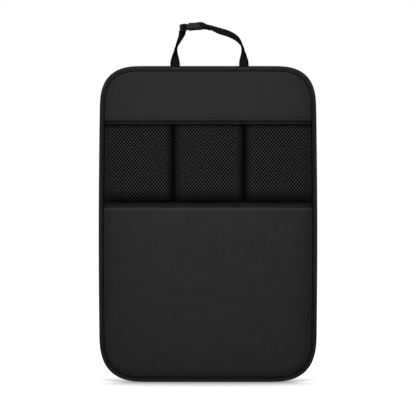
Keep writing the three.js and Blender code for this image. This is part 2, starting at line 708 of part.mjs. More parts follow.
// The left strap rises through the ladder's inner slot, and its tail goes down through the outer one
function leftStrap() {
  const x = LEFT_STRAP_X;
  const [inner, outer] = ladderSlots().map(([x0, x1]) => (x0 + x1) / 2);
  const middle = (inner + outer) / 2;
  return webbing('strap_left', [
    free(x, LAP_Y, -WEBBING_LAP, 90, 0),
    free(x, LAP_Y, -3, 90, 0),
    free(x, LAP_Y, 4, 90, 0),
    free(x + 0.3, LAP_Y, 14, 88, 20),
    free(x + 1, 0, 28, 84, 58),
    free(x + 2.4, 1.5, 40, 75, 90),
    free(x + 6.8, 3.5, 51, 64, 108),
    free(x + 11, 5, 60, 60, 116),
    free(x + 14.4, 5.5, 66.5, 60, 122),
    free(x + 18, 4.8, 72, 55, 126),
    threaded(inner - 0.6, OVER_BAR + 1, 1),
    threaded(inner, 0, 1),
    threaded(inner - 1.2, -OVER_BAR, 1),
    threaded(middle, -OVER_BAR, 1),
    threaded(outer + 1.2, -OVER_BAR, 1),
    threaded(outer, 0, 1),
    threaded(outer, OVER_BAR + 0.5, 1),
    free(x + 13, 3.2, 71.5, 62, 120),
    free(x + 12, 3.8, 65, 62, 119),
    free(x + 11.4, 4, 59, 62, 118),
  ], WEBBING_STEPS);
}

// The right strap turns round the socket's bar and is sewn back on itself
function rightStrap() {
  const x = RIGHT_STRAP_X;
  const bar = SOCKET_LENGTH - BAR_WIDTH / 2;
  const slot = SOCKET_LENGTH - BAR_WIDTH - SLOT_LENGTH / 2;
  const below = onBuckle(0, LAYER_STEP).sub(onBuckle(0, 0));
  const lapped = ({ at, across }) => ({ at: at.clone().add(below), across });
  const lapStart = free(x - 77, 0, 80.8, 175, -STRAP_LEAN);
  const lapEnd = free(x - 68, 0, 78.7, 168, -STRAP_LEAN);
  return webbing('strap_right', [
    free(x, LAP_Y, -WEBBING_LAP, 90, 0),
    free(x, LAP_Y, -3, 90, 0),
    free(x, LAP_Y, 4, 90, 0),
    free(x - 0.5, LAP_Y, 14, 93, -20),
    free(x - 1.6, 0, 28, 98, -58),
    free(x - 3.1, 0, 41.8, 112, -90),
    free(x - 7.8, 0, 49.5, 128, -104),
    free(x - 14.3, 0, 56.2, 139, -114),
    free(x - 22.5, 0, 61.9, 148, -120),
    free(x - 34.9, 0, 67.4, 158, -STRAP_LEAN),
    free(x - 47.2, 0, 71, 163, -STRAP_LEAN),
    lapEnd,
    lapStart,
    threaded(SOCKET_LENGTH + GAP, -OVER_BAR, -1),
    threaded(bar, -OVER_BAR, -1),
    threaded(slot + 1, -OVER_BAR, -1),
    threaded(slot, 0, -1),
    threaded(slot + 1, OVER_BAR, -1),
    threaded(bar, OVER_BAR, -1),
    threaded(SOCKET_LENGTH + GAP, OVER_BAR, -1),
    lapped(lapStart),
    lapped(lapEnd),
  ], WEBBING_STEPS);
}

export default new THREE.Group().add(
  frontCover(), foamCore(), backCover(), edgeBinding(), pocketNet(), pocketHem(), baseTape(),
  leftStrap(), rightStrap(), buckleSlope,
);
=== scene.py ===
import math

import bmesh
import bpy
import numpy as np
from mathutils import Matrix, Vector


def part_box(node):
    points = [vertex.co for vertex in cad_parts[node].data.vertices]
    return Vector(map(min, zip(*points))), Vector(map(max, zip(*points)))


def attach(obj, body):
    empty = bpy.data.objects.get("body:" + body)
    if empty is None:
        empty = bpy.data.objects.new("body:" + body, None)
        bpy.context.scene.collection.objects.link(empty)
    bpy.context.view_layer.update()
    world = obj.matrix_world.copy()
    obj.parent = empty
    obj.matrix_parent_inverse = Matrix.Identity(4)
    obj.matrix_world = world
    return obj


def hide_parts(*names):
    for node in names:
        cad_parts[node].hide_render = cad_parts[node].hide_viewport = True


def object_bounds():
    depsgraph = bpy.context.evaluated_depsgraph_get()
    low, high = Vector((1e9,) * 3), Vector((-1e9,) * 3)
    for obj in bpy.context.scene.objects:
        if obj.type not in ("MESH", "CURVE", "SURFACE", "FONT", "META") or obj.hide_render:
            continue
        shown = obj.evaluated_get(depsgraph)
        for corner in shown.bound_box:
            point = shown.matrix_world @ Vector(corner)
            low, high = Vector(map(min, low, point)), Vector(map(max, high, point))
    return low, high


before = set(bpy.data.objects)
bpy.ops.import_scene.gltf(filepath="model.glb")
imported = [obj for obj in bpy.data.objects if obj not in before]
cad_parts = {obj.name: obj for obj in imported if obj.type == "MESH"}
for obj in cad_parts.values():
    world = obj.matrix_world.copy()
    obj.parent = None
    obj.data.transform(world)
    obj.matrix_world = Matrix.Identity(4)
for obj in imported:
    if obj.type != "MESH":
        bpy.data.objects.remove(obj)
cad_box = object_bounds()

# The view
# The mat is seen straight on and from far off, with its middle a little below the middle of
# the picture. One pixel of the 416 pixel frame is about 2.06 mm at its front.
MM = 0.001
FRAME_PIXELS = 416
PIXEL_SIZE = 2.0565 * MM
MAT_MIDDLE_X = 208
MAT_MIDDLE_Y = 223.95
FRONT_Y = -6 * MM
VIEW_DISTANCE = 4.2

camera = bpy.data.objects.new("camera", bpy.data.cameras.new("camera"))
bpy.context.scene.collection.objects.link(camera)
camera.location = (
    (FRAME_PIXELS / 2 - MAT_MIDDLE_X) * PIXEL_SIZE,
    FRONT_Y - VIEW_DISTANCE,
    (MAT_MIDDLE_Y - FRAME_PIXELS / 2) * PIXEL_SIZE,
)
camera.rotation_euler = (math.pi / 2, 0, 0)
camera.data.lens = camera.data.sensor_width * VIEW_DISTANCE / (FRAME_PIXELS * PIXEL_SIZE)
bpy.context.scene.camera = camera
bpy.context.scene.view_settings.view_transform = "Standard"

# The floor and the light
# A plain white floor under the mat's lower edge, a lamp above it, one in front of it and one
# behind, and a weak even sky. The floor keeps the soft shadow at the mat's foot.
FLOOR_SIZE = 14
FLOOR_SHADE = 0.4
FLOOR_GLOW = (0.12, 1.0)
CONTACT_SHADOW_REACH = 0.2
FOOT_OPENNESS = 0.5
FLOOR_CLEARANCE = 0.2 * MM
SKY_ON_OBJECT = 0.25
TOP_LAMP_PLACE = (0, -0.9, 1.6)
TOP_LAMP_SIZE = 1.2
TOP_LAMP_WATTS = 14
FRONT_LAMP_PLACE = (-0.05, -0.7, 0.15)
FRONT_LAMP_SIZE = 0.4
FRONT_LAMP_WATTS = 2.45
BACK_LAMP_PLACE = (0, 1.1, 0.2)
BACK_LAMP_SIZE = 0.6
BACK_LAMP_WATTS = 7


def add_node(tree, kind, settings=None, **sockets):
    """A shader node, with its settings and what goes into its sockets."""
    made = tree.nodes.new(kind)
    for name, value in (settings or {}).items():
        setattr(made, name, value)
    for name, value in sockets.items():
        socket = made.inputs[name.replace("_", " ")]
        if isinstance(value, bpy.types.NodeSocket):
            tree.links.new(value, socket)
        else:
            socket.default_value = value
    return made


def math_node(tree, operation, *values):
    """A sum of the shader: each value is a number or what another node gives."""
    made = add_node(tree, "ShaderNodeMath", {"operation": operation})
    for k, value in enumerate(values):
        if isinstance(value, bpy.types.NodeSocket):
            tree.links.new(value, made.inputs[k])
        else:
            made.inputs[k].default_value = value
    return made.outputs[0]


def seen_directly(tree):
    """1 where the eye, a reflection or a clear material looks, and 0 for the light on things."""
    path = add_node(tree, "ShaderNodeLightPath").outputs
    either = math_node(tree, "MAXIMUM", path["Is Camera Ray"], path["Is Glossy Ray"])
    return math_node(tree, "MAXIMUM", either, path["Is Transmission Ray"])


def light_the_sky():
    world = bpy.data.worlds.new("sky")
    bpy.context.scene.world = world
    world.use_nodes = True
    tree = world.node_tree
    seen = seen_directly(tree)
    strength = add_node(tree, "ShaderNodeMapRange", Value=seen, To_Min=SKY_ON_OBJECT, To_Max=1)
    background = tree.nodes["Background"]
    background.inputs["Color"].default_value = (1, 1, 1, 1)
    tree.links.new(strength.outputs["Result"], background.inputs["Strength"])


def lay_the_floor():
    place = (0, 0, cad_box[0].z - FLOOR_CLEARANCE)
    bpy.ops.mesh.primitive_plane_add(size=FLOOR_SIZE, location=place)
    floor = bpy.context.object
    floor.name = "floor"
    white = bpy.data.materials.new("floor_white")
    white.use_nodes = True
    tree = white.node_tree
    tree.nodes.remove(tree.nodes["Principled BSDF"])
    matt = add_node(tree, "ShaderNodeBsdfDiffuse", Color=(FLOOR_SHADE, FLOOR_SHADE, FLOOR_SHADE, 1))
    around = {"samples": 16}
    open_sky = add_node(tree, "ShaderNodeAmbientOcclusion", around, Distance=CONTACT_SHADOW_REACH)
    level = add_node(tree, "ShaderNodeMapRange", Value=open_sky.outputs["AO"], From_Min=FOOT_OPENNESS)
    level.inputs["To Min"].default_value, level.inputs["To Max"].default_value = FLOOR_GLOW
    share = math_node(tree, "MULTIPLY", seen_directly(tree), level.outputs["Result"])
    glow = add_node(tree, "ShaderNodeEmission", Color=(1, 1, 1, 1), Strength=share)
    both = add_node(tree, "ShaderNodeAddShader")
    tree.links.new(matt.outputs[0], both.inputs[0])
    tree.links.new(glow.outputs[0], both.inputs[1])
    tree.links.new(both.outputs[0], tree.nodes["Material Output"].inputs["Surface"])
    floor.data.materials.append(white)


def hang_lamp(name, place, size, watts):
    lamp = bpy.data.objects.new(name, bpy.data.lights.new(name, "AREA"))
    lamp.data.size = size
    lamp.data.energy = watts
    lamp.location = place
    lamp.rotation_euler = (-Vector(place)).to_track_quat("-Z", "Y").to_euler()
    lamp.visible_camera = False
    bpy.context.scene.collection.objects.link(lamp)


light_the_sky()
lay_the_floor()
hang_lamp("top_lamp", TOP_LAMP_PLACE, TOP_LAMP_SIZE, TOP_LAMP_WATTS)
hang_lamp("front_lamp", FRONT_LAMP_PLACE, FRONT_LAMP_SIZE, FRONT_LAMP_WATTS)
hang_lamp("back_lamp", BACK_LAMP_PLACE, BACK_LAMP_SIZE, BACK_LAMP_WATTS)

# The front cover
# One sheet of soft coated cloth, cut to the mat's whole outline and drawn down at its edge and
# along the seam under the pockets. The foam crowns it between the seams.
mat_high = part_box("edge_binding")[1]
HALF_WIDTH = mat_high.x
TOP = mat_high.z
TOP_CORNER_REACH = 88 * MM
BOTTOM_CORNER_REACH = 98 * MM
CORNER_SQUARENESS = 2.775
SIDE_BOW = 3.25 * MM
BOW_HEIGHT = -30 * MM
EDGE_FRONT = 4.8 * MM
PANEL_FRONT = 7 * MM
COVER_THICKNESS = 0.8 * MM
LAYER_INSET = 1 * MM
SLOPE_START = 11.8 * MM
EDGE_SLOPE_WIDTH = 14 * MM
BASE_TAPE_HEIGHT = 39.6 * MM
BASE_TAPE_WIDTH = 11.9 * MM
SEAM_SLOPE_WIDTH = 13.4 * MM
POCKET_TOP = 215.4 * MM
LOWER_CROWN = 3.2 * MM
CROWN_REACH = 70 * MM
STEPS_ACROSS = 84
STEPS_UP = 120
CORNER_STEPS = 24
SLOPE_STEPS = 6
COVER_SHADE = (0.0285, 0.0285, 0.0305)
# Painted light on the cover, by height and across: painted shade behind the pocket net, on the lower panel
# and towards both sides, and a painted highlight on the foam's edge under the base tape.
POCKET_PAINTED_SHADE = 0.03
SEAM_PAINTED_HIGHLIGHT = 1.55
LOWER_PANEL_PAINTED_SHADE = 0.9
HEIGHT_PAINTED_LIGHT = [
    (22 * MM, LOWER_PANEL_PAINTED_SHADE), (29 * MM, 1.0), (31.5 * MM, SEAM_PAINTED_HIGHLIGHT), (BASE_TAPE_HEIGHT, SEAM_PAINTED_HIGHLIGHT),
    (BASE_TAPE_HEIGHT + 5 * MM, POCKET_PAINTED_SHADE), (POCKET_TOP - 8 * MM, POCKET_PAINTED_SHADE), (POCKET_TOP, 1),
]
SIDE_PAINTED_SHADE = [
    (-216 * MM, 0.78), (-194 * MM, 0.88), (-174 * MM, 0.94), (-140 * MM, 1),
    (150 * MM, 1), (176 * MM, 0.96), (196 * MM, 0.84), (216 * MM, 0.72),
]
SEAM_PUFF = 1.4 * MM
PUFF_REACH = 6 * MM
COVER_GRAIN = 0.9 * MM
COVER_WRINKLE = 7 * MM
COVER_PATCHES = [(30 * MM, 0.12), (5 * MM, 0.2)]


def side_at(z):
    return HALF_WIDTH - SIDE_BOW * ((z - BOW_HEIGHT) / TOP) ** 2


def corner_point(angle, reach, end):
    """A point of a right-hand corner: angle 0 at the side, a quarter turn at the end."""
    power = 2 / CORNER_SQUARENESS
    z = end * (TOP - reach + reach * max(math.sin(angle), 0) ** power)
    x = side_at(z) - reach * (1 - max(math.cos(angle), 0) ** power)
    return x, z


def lengths_along(points):
    """How far along a line each of its points is."""
    return np.concatenate([[0], np.cumsum(np.linalg.norm(np.diff(points, axis=0), axis=1))])


def evenly(points, steps):
    """The same line with its points a constant distance apart."""
    points = np.array(points)
    lengths = lengths_along(points)
    places = np.linspace(0, lengths[-1], steps + 1)
    return np.stack([np.interp(places, lengths, column) for column in points.T], axis=1)


def end_line(reach, end):
    """The top or bottom edge, from the middle of its left corner to the middle of its right one."""
    angles = np.linspace(math.pi / 4, math.pi / 2, CORNER_STEPS)
    right = [corner_point(angle, reach, end) for angle in angles]
    left = [(-x, z) for x, z in right]
    return evenly([*left, *right[::-1]], STEPS_ACROSS)


def side_line():
    """The right-hand edge, from the middle of its lower corner to the middle of its upper one."""
    angles = np.linspace(0, math.pi / 4, CORNER_STEPS)
    lower = [corner_point(angle, BOTTOM_CORNER_REACH, -1) for angle in angles]
    upper = [corner_point(angle, TOP_CORNER_REACH, 1) for angle in angles]
    heights = np.linspace(lower[0][1], upper[0][1], CORNER_STEPS)
    straight = [(side_at(z), z) for z in heights[1:-1]]
    return evenly([*lower[::-1], *straight, *upper], STEPS_UP)


def outline_loop():
    """The mat's outline, counter-clockwise from the front, and the way out of it at each point."""
    bottom = end_line(BOTTOM_CORNER_REACH, -1)
    top = end_line(TOP_CORNER_REACH, 1)
    right = side_line()
    left = right * (-1, 1)
    loop = np.concatenate([bottom[:-1], right[:-1], top[::-1][:-1], left[::-1][:-1]])
    along = np.roll(loop, -1, axis=0) - np.roll(loop, 1, axis=0)
    along /= np.linalg.norm(along, axis=1)[:, None]
    return loop, np.stack([along[:, 1], -along[:, 0]], axis=1)


OUTLINE, OUTWARD = outline_loop()


def rise(share):
    return math.sin(math.pi / 2 * min(max(share, 0), 1))


def slope_share(inset):
    return rise((inset - SLOPE_START) / EDGE_SLOPE_WIDTH)


def crown_share(x, z):
    """How far the foam crowns the lower panel, from 0 at its seams to 1 in the middle."""
    below_seam = BASE_TAPE_HEIGHT - BASE_TAPE_WIDTH / 2 - z
    above_foot = z + TOP - SLOPE_START
    from_side = side_at(z) - SLOPE_START - abs(x)
    return math.prod(rise(away / CROWN_REACH) for away in (below_seam, above_foot, from_side))


def front_level(inset, x, z):
    from_seam = abs(z - BASE_TAPE_HEIGHT) - BASE_TAPE_WIDTH / 2
    pad = slope_share(inset) * rise(from_seam / SEAM_SLOPE_WIDTH)
    crown = LOWER_CROWN * crown_share(x, z) * slope_share(inset)
    if z < BASE_TAPE_HEIGHT:
        crown += SEAM_PUFF * rise(from_seam / PUFF_REACH) * slope_share(inset)
    return EDGE_FRONT + (PANEL_FRONT - EDGE_FRONT) * pad + crown


def coons_point(sides, u, v, i, j):
    """A point inside four edge lines, blended from them."""
    bottom, right, top, left = sides
    ruled = (1 - v) * bottom[i] + v * top[i] + (1 - u) * left[j] + u * right[j]
    corners = (1 - u) * (1 - v) * bottom[0] + u * (1 - v) * bottom[-1]
    return ruled - corners - (1 - u) * v * top[0] - u * v * top[-1]


def panel_face(level):
    """One face of a layer of the mat: rings in from its edge, then a field of even squares."""
    insets = [LAYER_INSET, SLOPE_START / 2]
    insets += [SLOPE_START + EDGE_SLOPE_WIDTH * n / SLOPE_STEPS for n in range(SLOPE_STEPS + 1)]
    count = len(OUTLINE)
    points = []
    faces = []
    for ring, inset in enumerate(insets):
        for x, z in OUTLINE - inset * OUTWARD:
            points.append((x, -level(inset, x, z), z))
        if ring:
            outer, inner = (ring - 1) * count, ring * count
            for k in range(count):
                after = (k + 1) % count
                faces.append((outer + k, outer + after, inner + after, inner + k))
    last = insets[-1]
    start = (len(insets) - 1) * count
    loop = OUTLINE - last * OUTWARD
    n, m = STEPS_ACROSS, STEPS_UP
    sides = (loop[: n + 1], loop[n : n + m + 1], loop[n + m : 2 * n + m + 1][::-1],
             np.concatenate([loop[2 * n + m :], loop[:1]])[::-1])
    index = {}
    for j in range(m + 1):
        for i in range(n + 1):
            if j == 0:
                index[i, j] = start + i
            elif i == n:
                index[i, j] = start + n + j
            elif j == m:
                index[i, j] = start + n + m + n - i
            elif i == 0:
                index[i, j] = start + (2 * n + 2 * m - j) % count
            else:
                x, z = coons_point(sides, i / n, j / m, i, j)
                index[i, j] = len(points)
                points.append((x, -level(last, x, z), z))
    for j in range(m):
        for i in range(n):
            faces.append((index[i, j], index[i + 1, j], index[i + 1, j + 1], index[i, j + 1]))
    return points, faces


def piece_from(name, points, faces):
    mesh = bpy.data.meshes.new(name)
    mesh.from_pydata(points, [], faces)
    mesh.validate()
    mesh.shade_smooth()
    made = bpy.data.objects.new(name, mesh)
    bpy.context.scene.collection.objects.link(made)
    return made


def panel_layer(name, outer, inner):
    """A layer of the mat, closed between its front face and its back face."""
    points, faces = panel_face(outer)
    behind, behind_faces = panel_face(inner)
    start = len(points)
    count = len(OUTLINE)
    faces += [tuple(start + k for k in reversed(face)) for face in behind_faces]
    faces += [(k, start + k, start + (k + 1) % count, (k + 1) % count) for k in range(count)]
    return piece_from(name, points + behind, faces)


def new_finish(name, shade, roughness, gloss):
    """A material with its shader set, ready for the grain or weave of its own cloth."""
    finish = bpy.data.materials.new(name)
    finish.use_nodes = True
    shader = finish.node_tree.nodes["Principled BSDF"]
    shader.inputs["Base Color"].default_value = (*shade, 1)
    shader.inputs["Roughness"].default_value = roughness
    shader.inputs["Specular IOR Level"].default_value = gloss
    return finish, finish.node_tree, shader


def paint(tree, shader, shade, light):
    """The shade times a light value that changes over the piece."""
    colour = add_node(tree, "ShaderNodeVectorMath", {"operation": "SCALE"})
    colour.inputs[0].default_value = shade
    tree.links.new(light, colour.inputs["Scale"])
    tree.links.new(colour.outputs["Vector"], shader.inputs["Base Color"])


def object_place(tree):
    """Where on the object a point is, in metres."""
    return add_node(tree, "ShaderNodeTexCoord").outputs["Object"]


def mapped_place(tree, name):
    """Where on a texture map a point is."""
    return add_node(tree, "ShaderNodeUVMap", {"uv_map": name}).outputs["UV"]


def axes(tree, place):
    """The three numbers of a place, by X, Y and Z."""
    return add_node(tree, "ShaderNodeSeparateXYZ", Vector=place).outputs


def noise(tree, place, size, detail=2.0):
    """Soft uneven patches of a size."""
    patches = add_node(tree, "ShaderNodeTexNoise", Vector=place, Scale=1 / size, Detail=detail)
    return patches.outputs["Fac"]


def mottle(tree, place, size, amount):
    """Uneven colour: a value a little over and under 1, in patches of a size."""
    return math_node(tree, "MULTIPLY_ADD", noise(tree, place, size, 4.0), 2 * amount, 1 - amount)


def bands(tree, along, stops):
    """A value that follows stops of place and value along a line, smoothly between them."""
    low, high = stops[0][0], stops[-1][0]
    share = math_node(tree, "DIVIDE", math_node(tree, "SUBTRACT", along, low), high - low)
    ramp = add_node(tree, "ShaderNodeValToRGB", Fac=share)
    while len(ramp.color_ramp.elements) < len(stops):
        ramp.color_ramp.elements.new(0.5)
    for element, (at, value) in zip(ramp.color_ramp.elements, stops):
        element.position = (at - low) / (high - low)
        element.color = (value, value, value, 1)
    return ramp.outputs["Color"]


def emboss(tree, shader, height, depth, before=None):
    """A bump of a depth in metres, over the bump made before it."""
    bump = add_node(tree, "ShaderNodeBump", Height=height, Distance=depth, Strength=1.0)
    if before is not None:
        tree.links.new(before.outputs["Normal"], bump.inputs["Normal"])
    tree.links.new(bump.outputs["Normal"], shader.inputs["Normal"])
    return bump


def coated_cloth():
    """Soft black coated cloth: a fine pebble grain with a faint mottle, painted in shade behind the
    pocket net, on the lower panel and towards the sides, with a painted highlight along the foam's
    edge under the base tape."""
    finish, tree, shader = new_finish("coated_cloth", COVER_SHADE, roughness=0.62, gloss=0.03)
    place = object_place(tree)
    spot = axes(tree, place)
    # painted shade and highlight by height and across, over the cloth's own mottle
    painted_light = [bands(tree, spot["Z"], HEIGHT_PAINTED_LIGHT), bands(tree, spot["X"], SIDE_PAINTED_SHADE)]
    patches = [mottle(tree, place, size, amount) for size, amount in COVER_PATCHES]
    light = [math_node(tree, "MULTIPLY", *pair) for pair in (patches, painted_light)]
    paint(tree, shader, COVER_SHADE, math_node(tree, "MULTIPLY", *light))
    smooth = {"feature": "SMOOTH_F1"}
    pebbles = add_node(tree, "ShaderNodeTexVoronoi", smooth, Vector=place, Scale=1 / COVER_GRAIN)
    grain = emboss(tree, shader, pebbles.outputs["Distance"], 0.05 * MM)
    emboss(tree, shader, noise(tree, place, COVER_WRINKLE, detail=5.0), 0.3 * MM, grain)
    return finish


def finish_piece(piece, finish, slot, *nodes):
    """Paints a piece, seats it on the mat's one body, and hides the solids it stands for."""
    piece.data.materials.clear()
    piece.data.materials.append(finish)
    if nodes:
        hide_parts(*nodes)
    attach(piece, "root")


def cover_back(inset, x, z):
    return front_level(inset, x, z) - COVER_THICKNESS


cover = panel_layer("soft_front_cover", front_level, cover_back)
finish_piece(cover, coated_cloth(), "cover", "front_cover")

# The foam
# A thin sheet of soft foam between the two covers, thinned at its edge where it goes under the
# binding. Nothing of it shows.
GAP = 0.3 * MM
EDGE_BACK = 2.4 * MM
BACK_THICKNESS = 0.5 * MM
FOAM_CELL = 0.8 * MM
FOAM_SHADE = (0.09, 0.092, 0.1)


def back_level(inset, x, z):
    """How far the back of the mat stands off the seat."""
    return EDGE_BACK * (1 - slope_share(inset))


def foam_front(inset, x, z):
    return front_level(inset, x, z) - COVER_THICKNESS - GAP


def foam_back(inset, x, z):
    return back_level(inset, x, z) + BACK_THICKNESS + GAP


def open_foam():
    """Grey foam with a fine open cell."""
    finish, tree, shader = new_finish("open_foam", FOAM_SHADE, roughness=0.95, gloss=0.1)
    place = object_place(tree)
    cells = add_node(tree, "ShaderNodeTexVoronoi", Vector=place, Scale=1 / FOAM_CELL)
    emboss(tree, shader, cells.outputs["Distance"], 0.3 * MM)
    return finish


foam = panel_layer("soft_foam", foam_front, foam_back)
finish_piece(foam, open_foam(), "foam", "foam_core")

# The back cover
# A plain backing cloth that lies flat on the seat. It is sewn in at the edge only, so it turns
# up to the binding over the same slope as the front.
BACKING_SHADE = (0.02, 0.02, 0.022)
BACKING_THREAD = 0.7 * MM
WAVE_REPEAT = 0.314


def backing_front(inset, x, z):
    return back_level(inset, x, z) + BACK_THICKNESS


def thread_wave(tree, place, way, pitch):
    """Threads side by side along one way, as a wave that repeats once a pitch."""
    settings = {"bands_direction": way}
    wave = add_node(tree, "ShaderNodeTexWave", settings, Vector=place, Scale=WAVE_REPEAT / pitch)
    return wave.outputs["Fac"]


def backing_cloth():
    """Plain woven backing: fine threads both ways."""
    finish, tree, shader = new_finish("backing_cloth", BACKING_SHADE, roughness=0.85, gloss=0.05)
    place = object_place(tree)
    paint(tree, shader, BACKING_SHADE, mottle(tree, place, 30 * MM, 0.15))
    waves = [thread_wave(tree, place, way, BACKING_THREAD) for way in "XZ"]
    emboss(tree, shader, math_node(tree, "MULTIPLY", *waves), 0.12 * MM)
    return finish


backing = panel_layer("soft_back_cover", backing_front, back_level)
finish_piece(backing, backing_cloth(), "backing", "back_cover")

# The edge binding
# One woven tape folded round the raw edges of both covers and the foam, and sewn through all of
# them beside its inner edge. It stands a little proud along the fold.
TAPE_THICKNESS = 0.7 * MM
BINDING_WIDTH = 11 * MM
BINDING_CROWN = 0.5 * MM
BINDING_SHADE = (0.01, 0.01, 0.011)
# Painted light across the binding: painted shade in the groove at its inner edge and on its outer fold, a
# painted highlight on its crown, and along the top edge more painted light.
BINDING_PAINTED_LIGHT = [
    (0, 0.35), (1.4 * MM, 0.35), (2.4 * MM, 1.1), (4.5 * MM, 1.2), (6 * MM, 2.1), (7.5 * MM, 3.3),
    (8.5 * MM, 2.4), (9.5 * MM, 0.9), (11 * MM, 0.5),
]
TOP_BINDING_PAINTED_LIGHT = [
    (0, 1), (1.4 * MM, 1), (2.4 * MM, 2.3), (4.5 * MM, 2), (6 * MM, 2.8), (7.5 * MM, 3.8),
    (8.5 * MM, 2.6), (9.5 * MM, 0.9), (11 * MM, 0.5),
]
TOP_PAINTED_LIGHT_SHARE = [(220 * MM, 0), (300 * MM, 0.65), (322 * MM, 1)]
TAPE_RIB = 0.9 * MM
STITCH_INSET = 8.6 * MM
STITCH_LENGTH = 2.9 * MM
STITCH_PITCH = 3.7 * MM
STITCH_THICKNESS = 0.38 * MM
THREAD_SHADE = (0.055, 0.055, 0.057)


def tube_faces(first, rings, count, path_closed=False):
    """The faces of a tube of rings of points, with both its ends unless its path is closed."""
    faces = []
    for ring in range(rings if path_closed else rings - 1):
        here, after = first + ring * count, first + (ring + 1) % rings * count
        for k in range(count):
            near = (k + 1) % count
            faces.append((here + k, here + near, after + near, after + k))
    if not path_closed:
        faces.append(tuple(first + k for k in reversed(range(count))))
        faces.append(tuple(first + (rings - 1) * count + k for k in range(count)))
    return faces


def swept(name, rings, path_closed):
    """A body swept through rings of points, with its length and its width as its texture map."""
    count = len(rings[0])
    points = [tuple(p) for ring in rings for p in ring]
    made = piece_from(name, points, tube_faces(0, len(rings), count, path_closed))
    map_length_and_width(made.data, rings, count)
    return made


def map_length_and_width(mesh, rings, count):
    """Metres along the sweep in U and metres round its section in V."""
    along = lengths_along([np.mean(np.array(ring, float), axis=0) for ring in rings])
    across = lengths_along(np.array(rings[0], float))
    layer = mesh.uv_layers.new(name="cloth")
    for face in mesh.polygons:
        places = [divmod(mesh.loops[k].vertex_index, count) for k in face.loop_indices]
        wraps_along = max(s for s, _ in places) - min(s for s, _ in places) > 1
        wraps_across = max(n for _, n in places) - min(n for _, n in places) > 1
        for k, (s, n) in zip(face.loop_indices, places):
            u = along[-1] + (along[1] - along[0]) if wraps_along and s == 0 else along[s]
            v = across[-1] + TAPE_THICKNESS if wraps_across and n == 0 and len(places) == 4 else across[n]
            layer.data[k].uv = (u, v)


def binding_section():
    """The folded tape: how far in from the edge, and how far forward, round the section."""
    front = EDGE_FRONT + GAP
    back = EDGE_BACK - GAP
    crown = front + TAPE_THICKNESS + BINDING_CROWN
    top = [
        (BINDING_WIDTH, front + TAPE_THICKNESS * 0.7),
        (BINDING_WIDTH - 0.3 * MM, front + TAPE_THICKNESS),
        (STITCH_INSET + 0.8 * MM, front + TAPE_THICKNESS),
        (STITCH_INSET, front + TAPE_THICKNESS * 0.75),
        (STITCH_INSET - 0.9 * MM, front + TAPE_THICKNESS + BINDING_CROWN * 0.3),
        (BINDING_WIDTH * 0.55, crown - BINDING_CROWN * 0.3),
        (BINDING_WIDTH * 0.35, crown),
        (BINDING_WIDTH * 0.18, crown - BINDING_CROWN * 0.35),
    ]
    middle = (front + TAPE_THICKNESS / 2 + back - TAPE_THICKNESS) / 2
    half = crown - BINDING_CROWN * 0.9 - middle
    turns = [math.radians(degrees) for degrees in (75, 55, 30, 0, -30, -55, -75)]
    fold = [(TAPE_THICKNESS * 1.3 * (1 - math.cos(a)), middle + half * math.sin(a)) for a in turns]
    under = [
        (1.6 * MM, back - TAPE_THICKNESS),
        (BINDING_WIDTH - 0.3 * MM, back - TAPE_THICKNESS),
        (BINDING_WIDTH, back - TAPE_THICKNESS / 2),
        (BINDING_WIDTH - 0.3 * MM, back),
        (TAPE_THICKNESS * 1.4, back),
        (TAPE_THICKNESS, back + 0.5 * MM),
        (TAPE_THICKNESS, front - 0.5 * MM),
        (TAPE_THICKNESS * 1.4, front),
        (BINDING_WIDTH - 0.3 * MM, front),
    ]
    return top + fold + under


def woven_tape(name, shade, across, across_top=None):
    """Matt grosgrain tape: fine ribs across its length, and a colour that changes across its width by
    the stops given. On the binding and the hem these are painted highlight and painted shade, and
    the binding is painted lighter still along the top, where the light from above falls."""
    finish, tree, shader = new_finish(name, shade, roughness=0.7, gloss=0.0)
    place = mapped_place(tree, "cloth")
    width = axes(tree, place)["Y"]
    # levels across the width: painted light on the binding and hem, and more painted light along the
    # binding's top
    levels = bands(tree, width, across)
    if across_top:
        height = axes(tree, object_place(tree))["Z"]
        more = math_node(tree, "SUBTRACT", bands(tree, width, across_top), levels)
        levels = math_node(tree, "MULTIPLY_ADD", more, bands(tree, height, TOP_PAINTED_LIGHT_SHARE), levels)
    paint(tree, shader, shade, math_node(tree, "MULTIPLY", mottle(tree, place, 4 * MM, 0.4), levels))
    ribbed = emboss(tree, shader, thread_wave(tree, place, "X", TAPE_RIB), 0.14 * MM)
    emboss(tree, shader, thread_wave(tree, place, "Y", 0.5 * TAPE_RIB), 0.06 * MM, ribbed)
    return finish


def binding_rings():
    rings = []
    for (x, z), (nx, nz) in zip(OUTLINE, OUTWARD):
        rings.append([(x - inset * nx, -depth, z - inset * nz) for inset, depth in binding_section()])
    return rings


def stitch_along(points, faces, start, end, out):
    """One stitch: a short fat thread that dips into the cloth at both ends."""
    along = end - start
    across = along.cross(out).normalized()
    sides = 6
    first = len(points)
    profile = [(0.0, 0.35, -0.5), (0.18, 0.9, 0.15), (0.5, 1.0, 0.4), (0.82, 0.9, 0.15), (1.0, 0.35, -0.5)]
    for share, fatness, lift in profile:
        centre = start + along * share + out * (lift * STITCH_THICKNESS / 2)
        for k in range(sides):
            turn = 2 * math.pi * k / sides
            spoke = across * math.cos(turn) + out * math.sin(turn)
            points.append(tuple(centre + spoke * (fatness * STITCH_THICKNESS / 2)))
    faces += tube_faces(first, len(profile), sides)


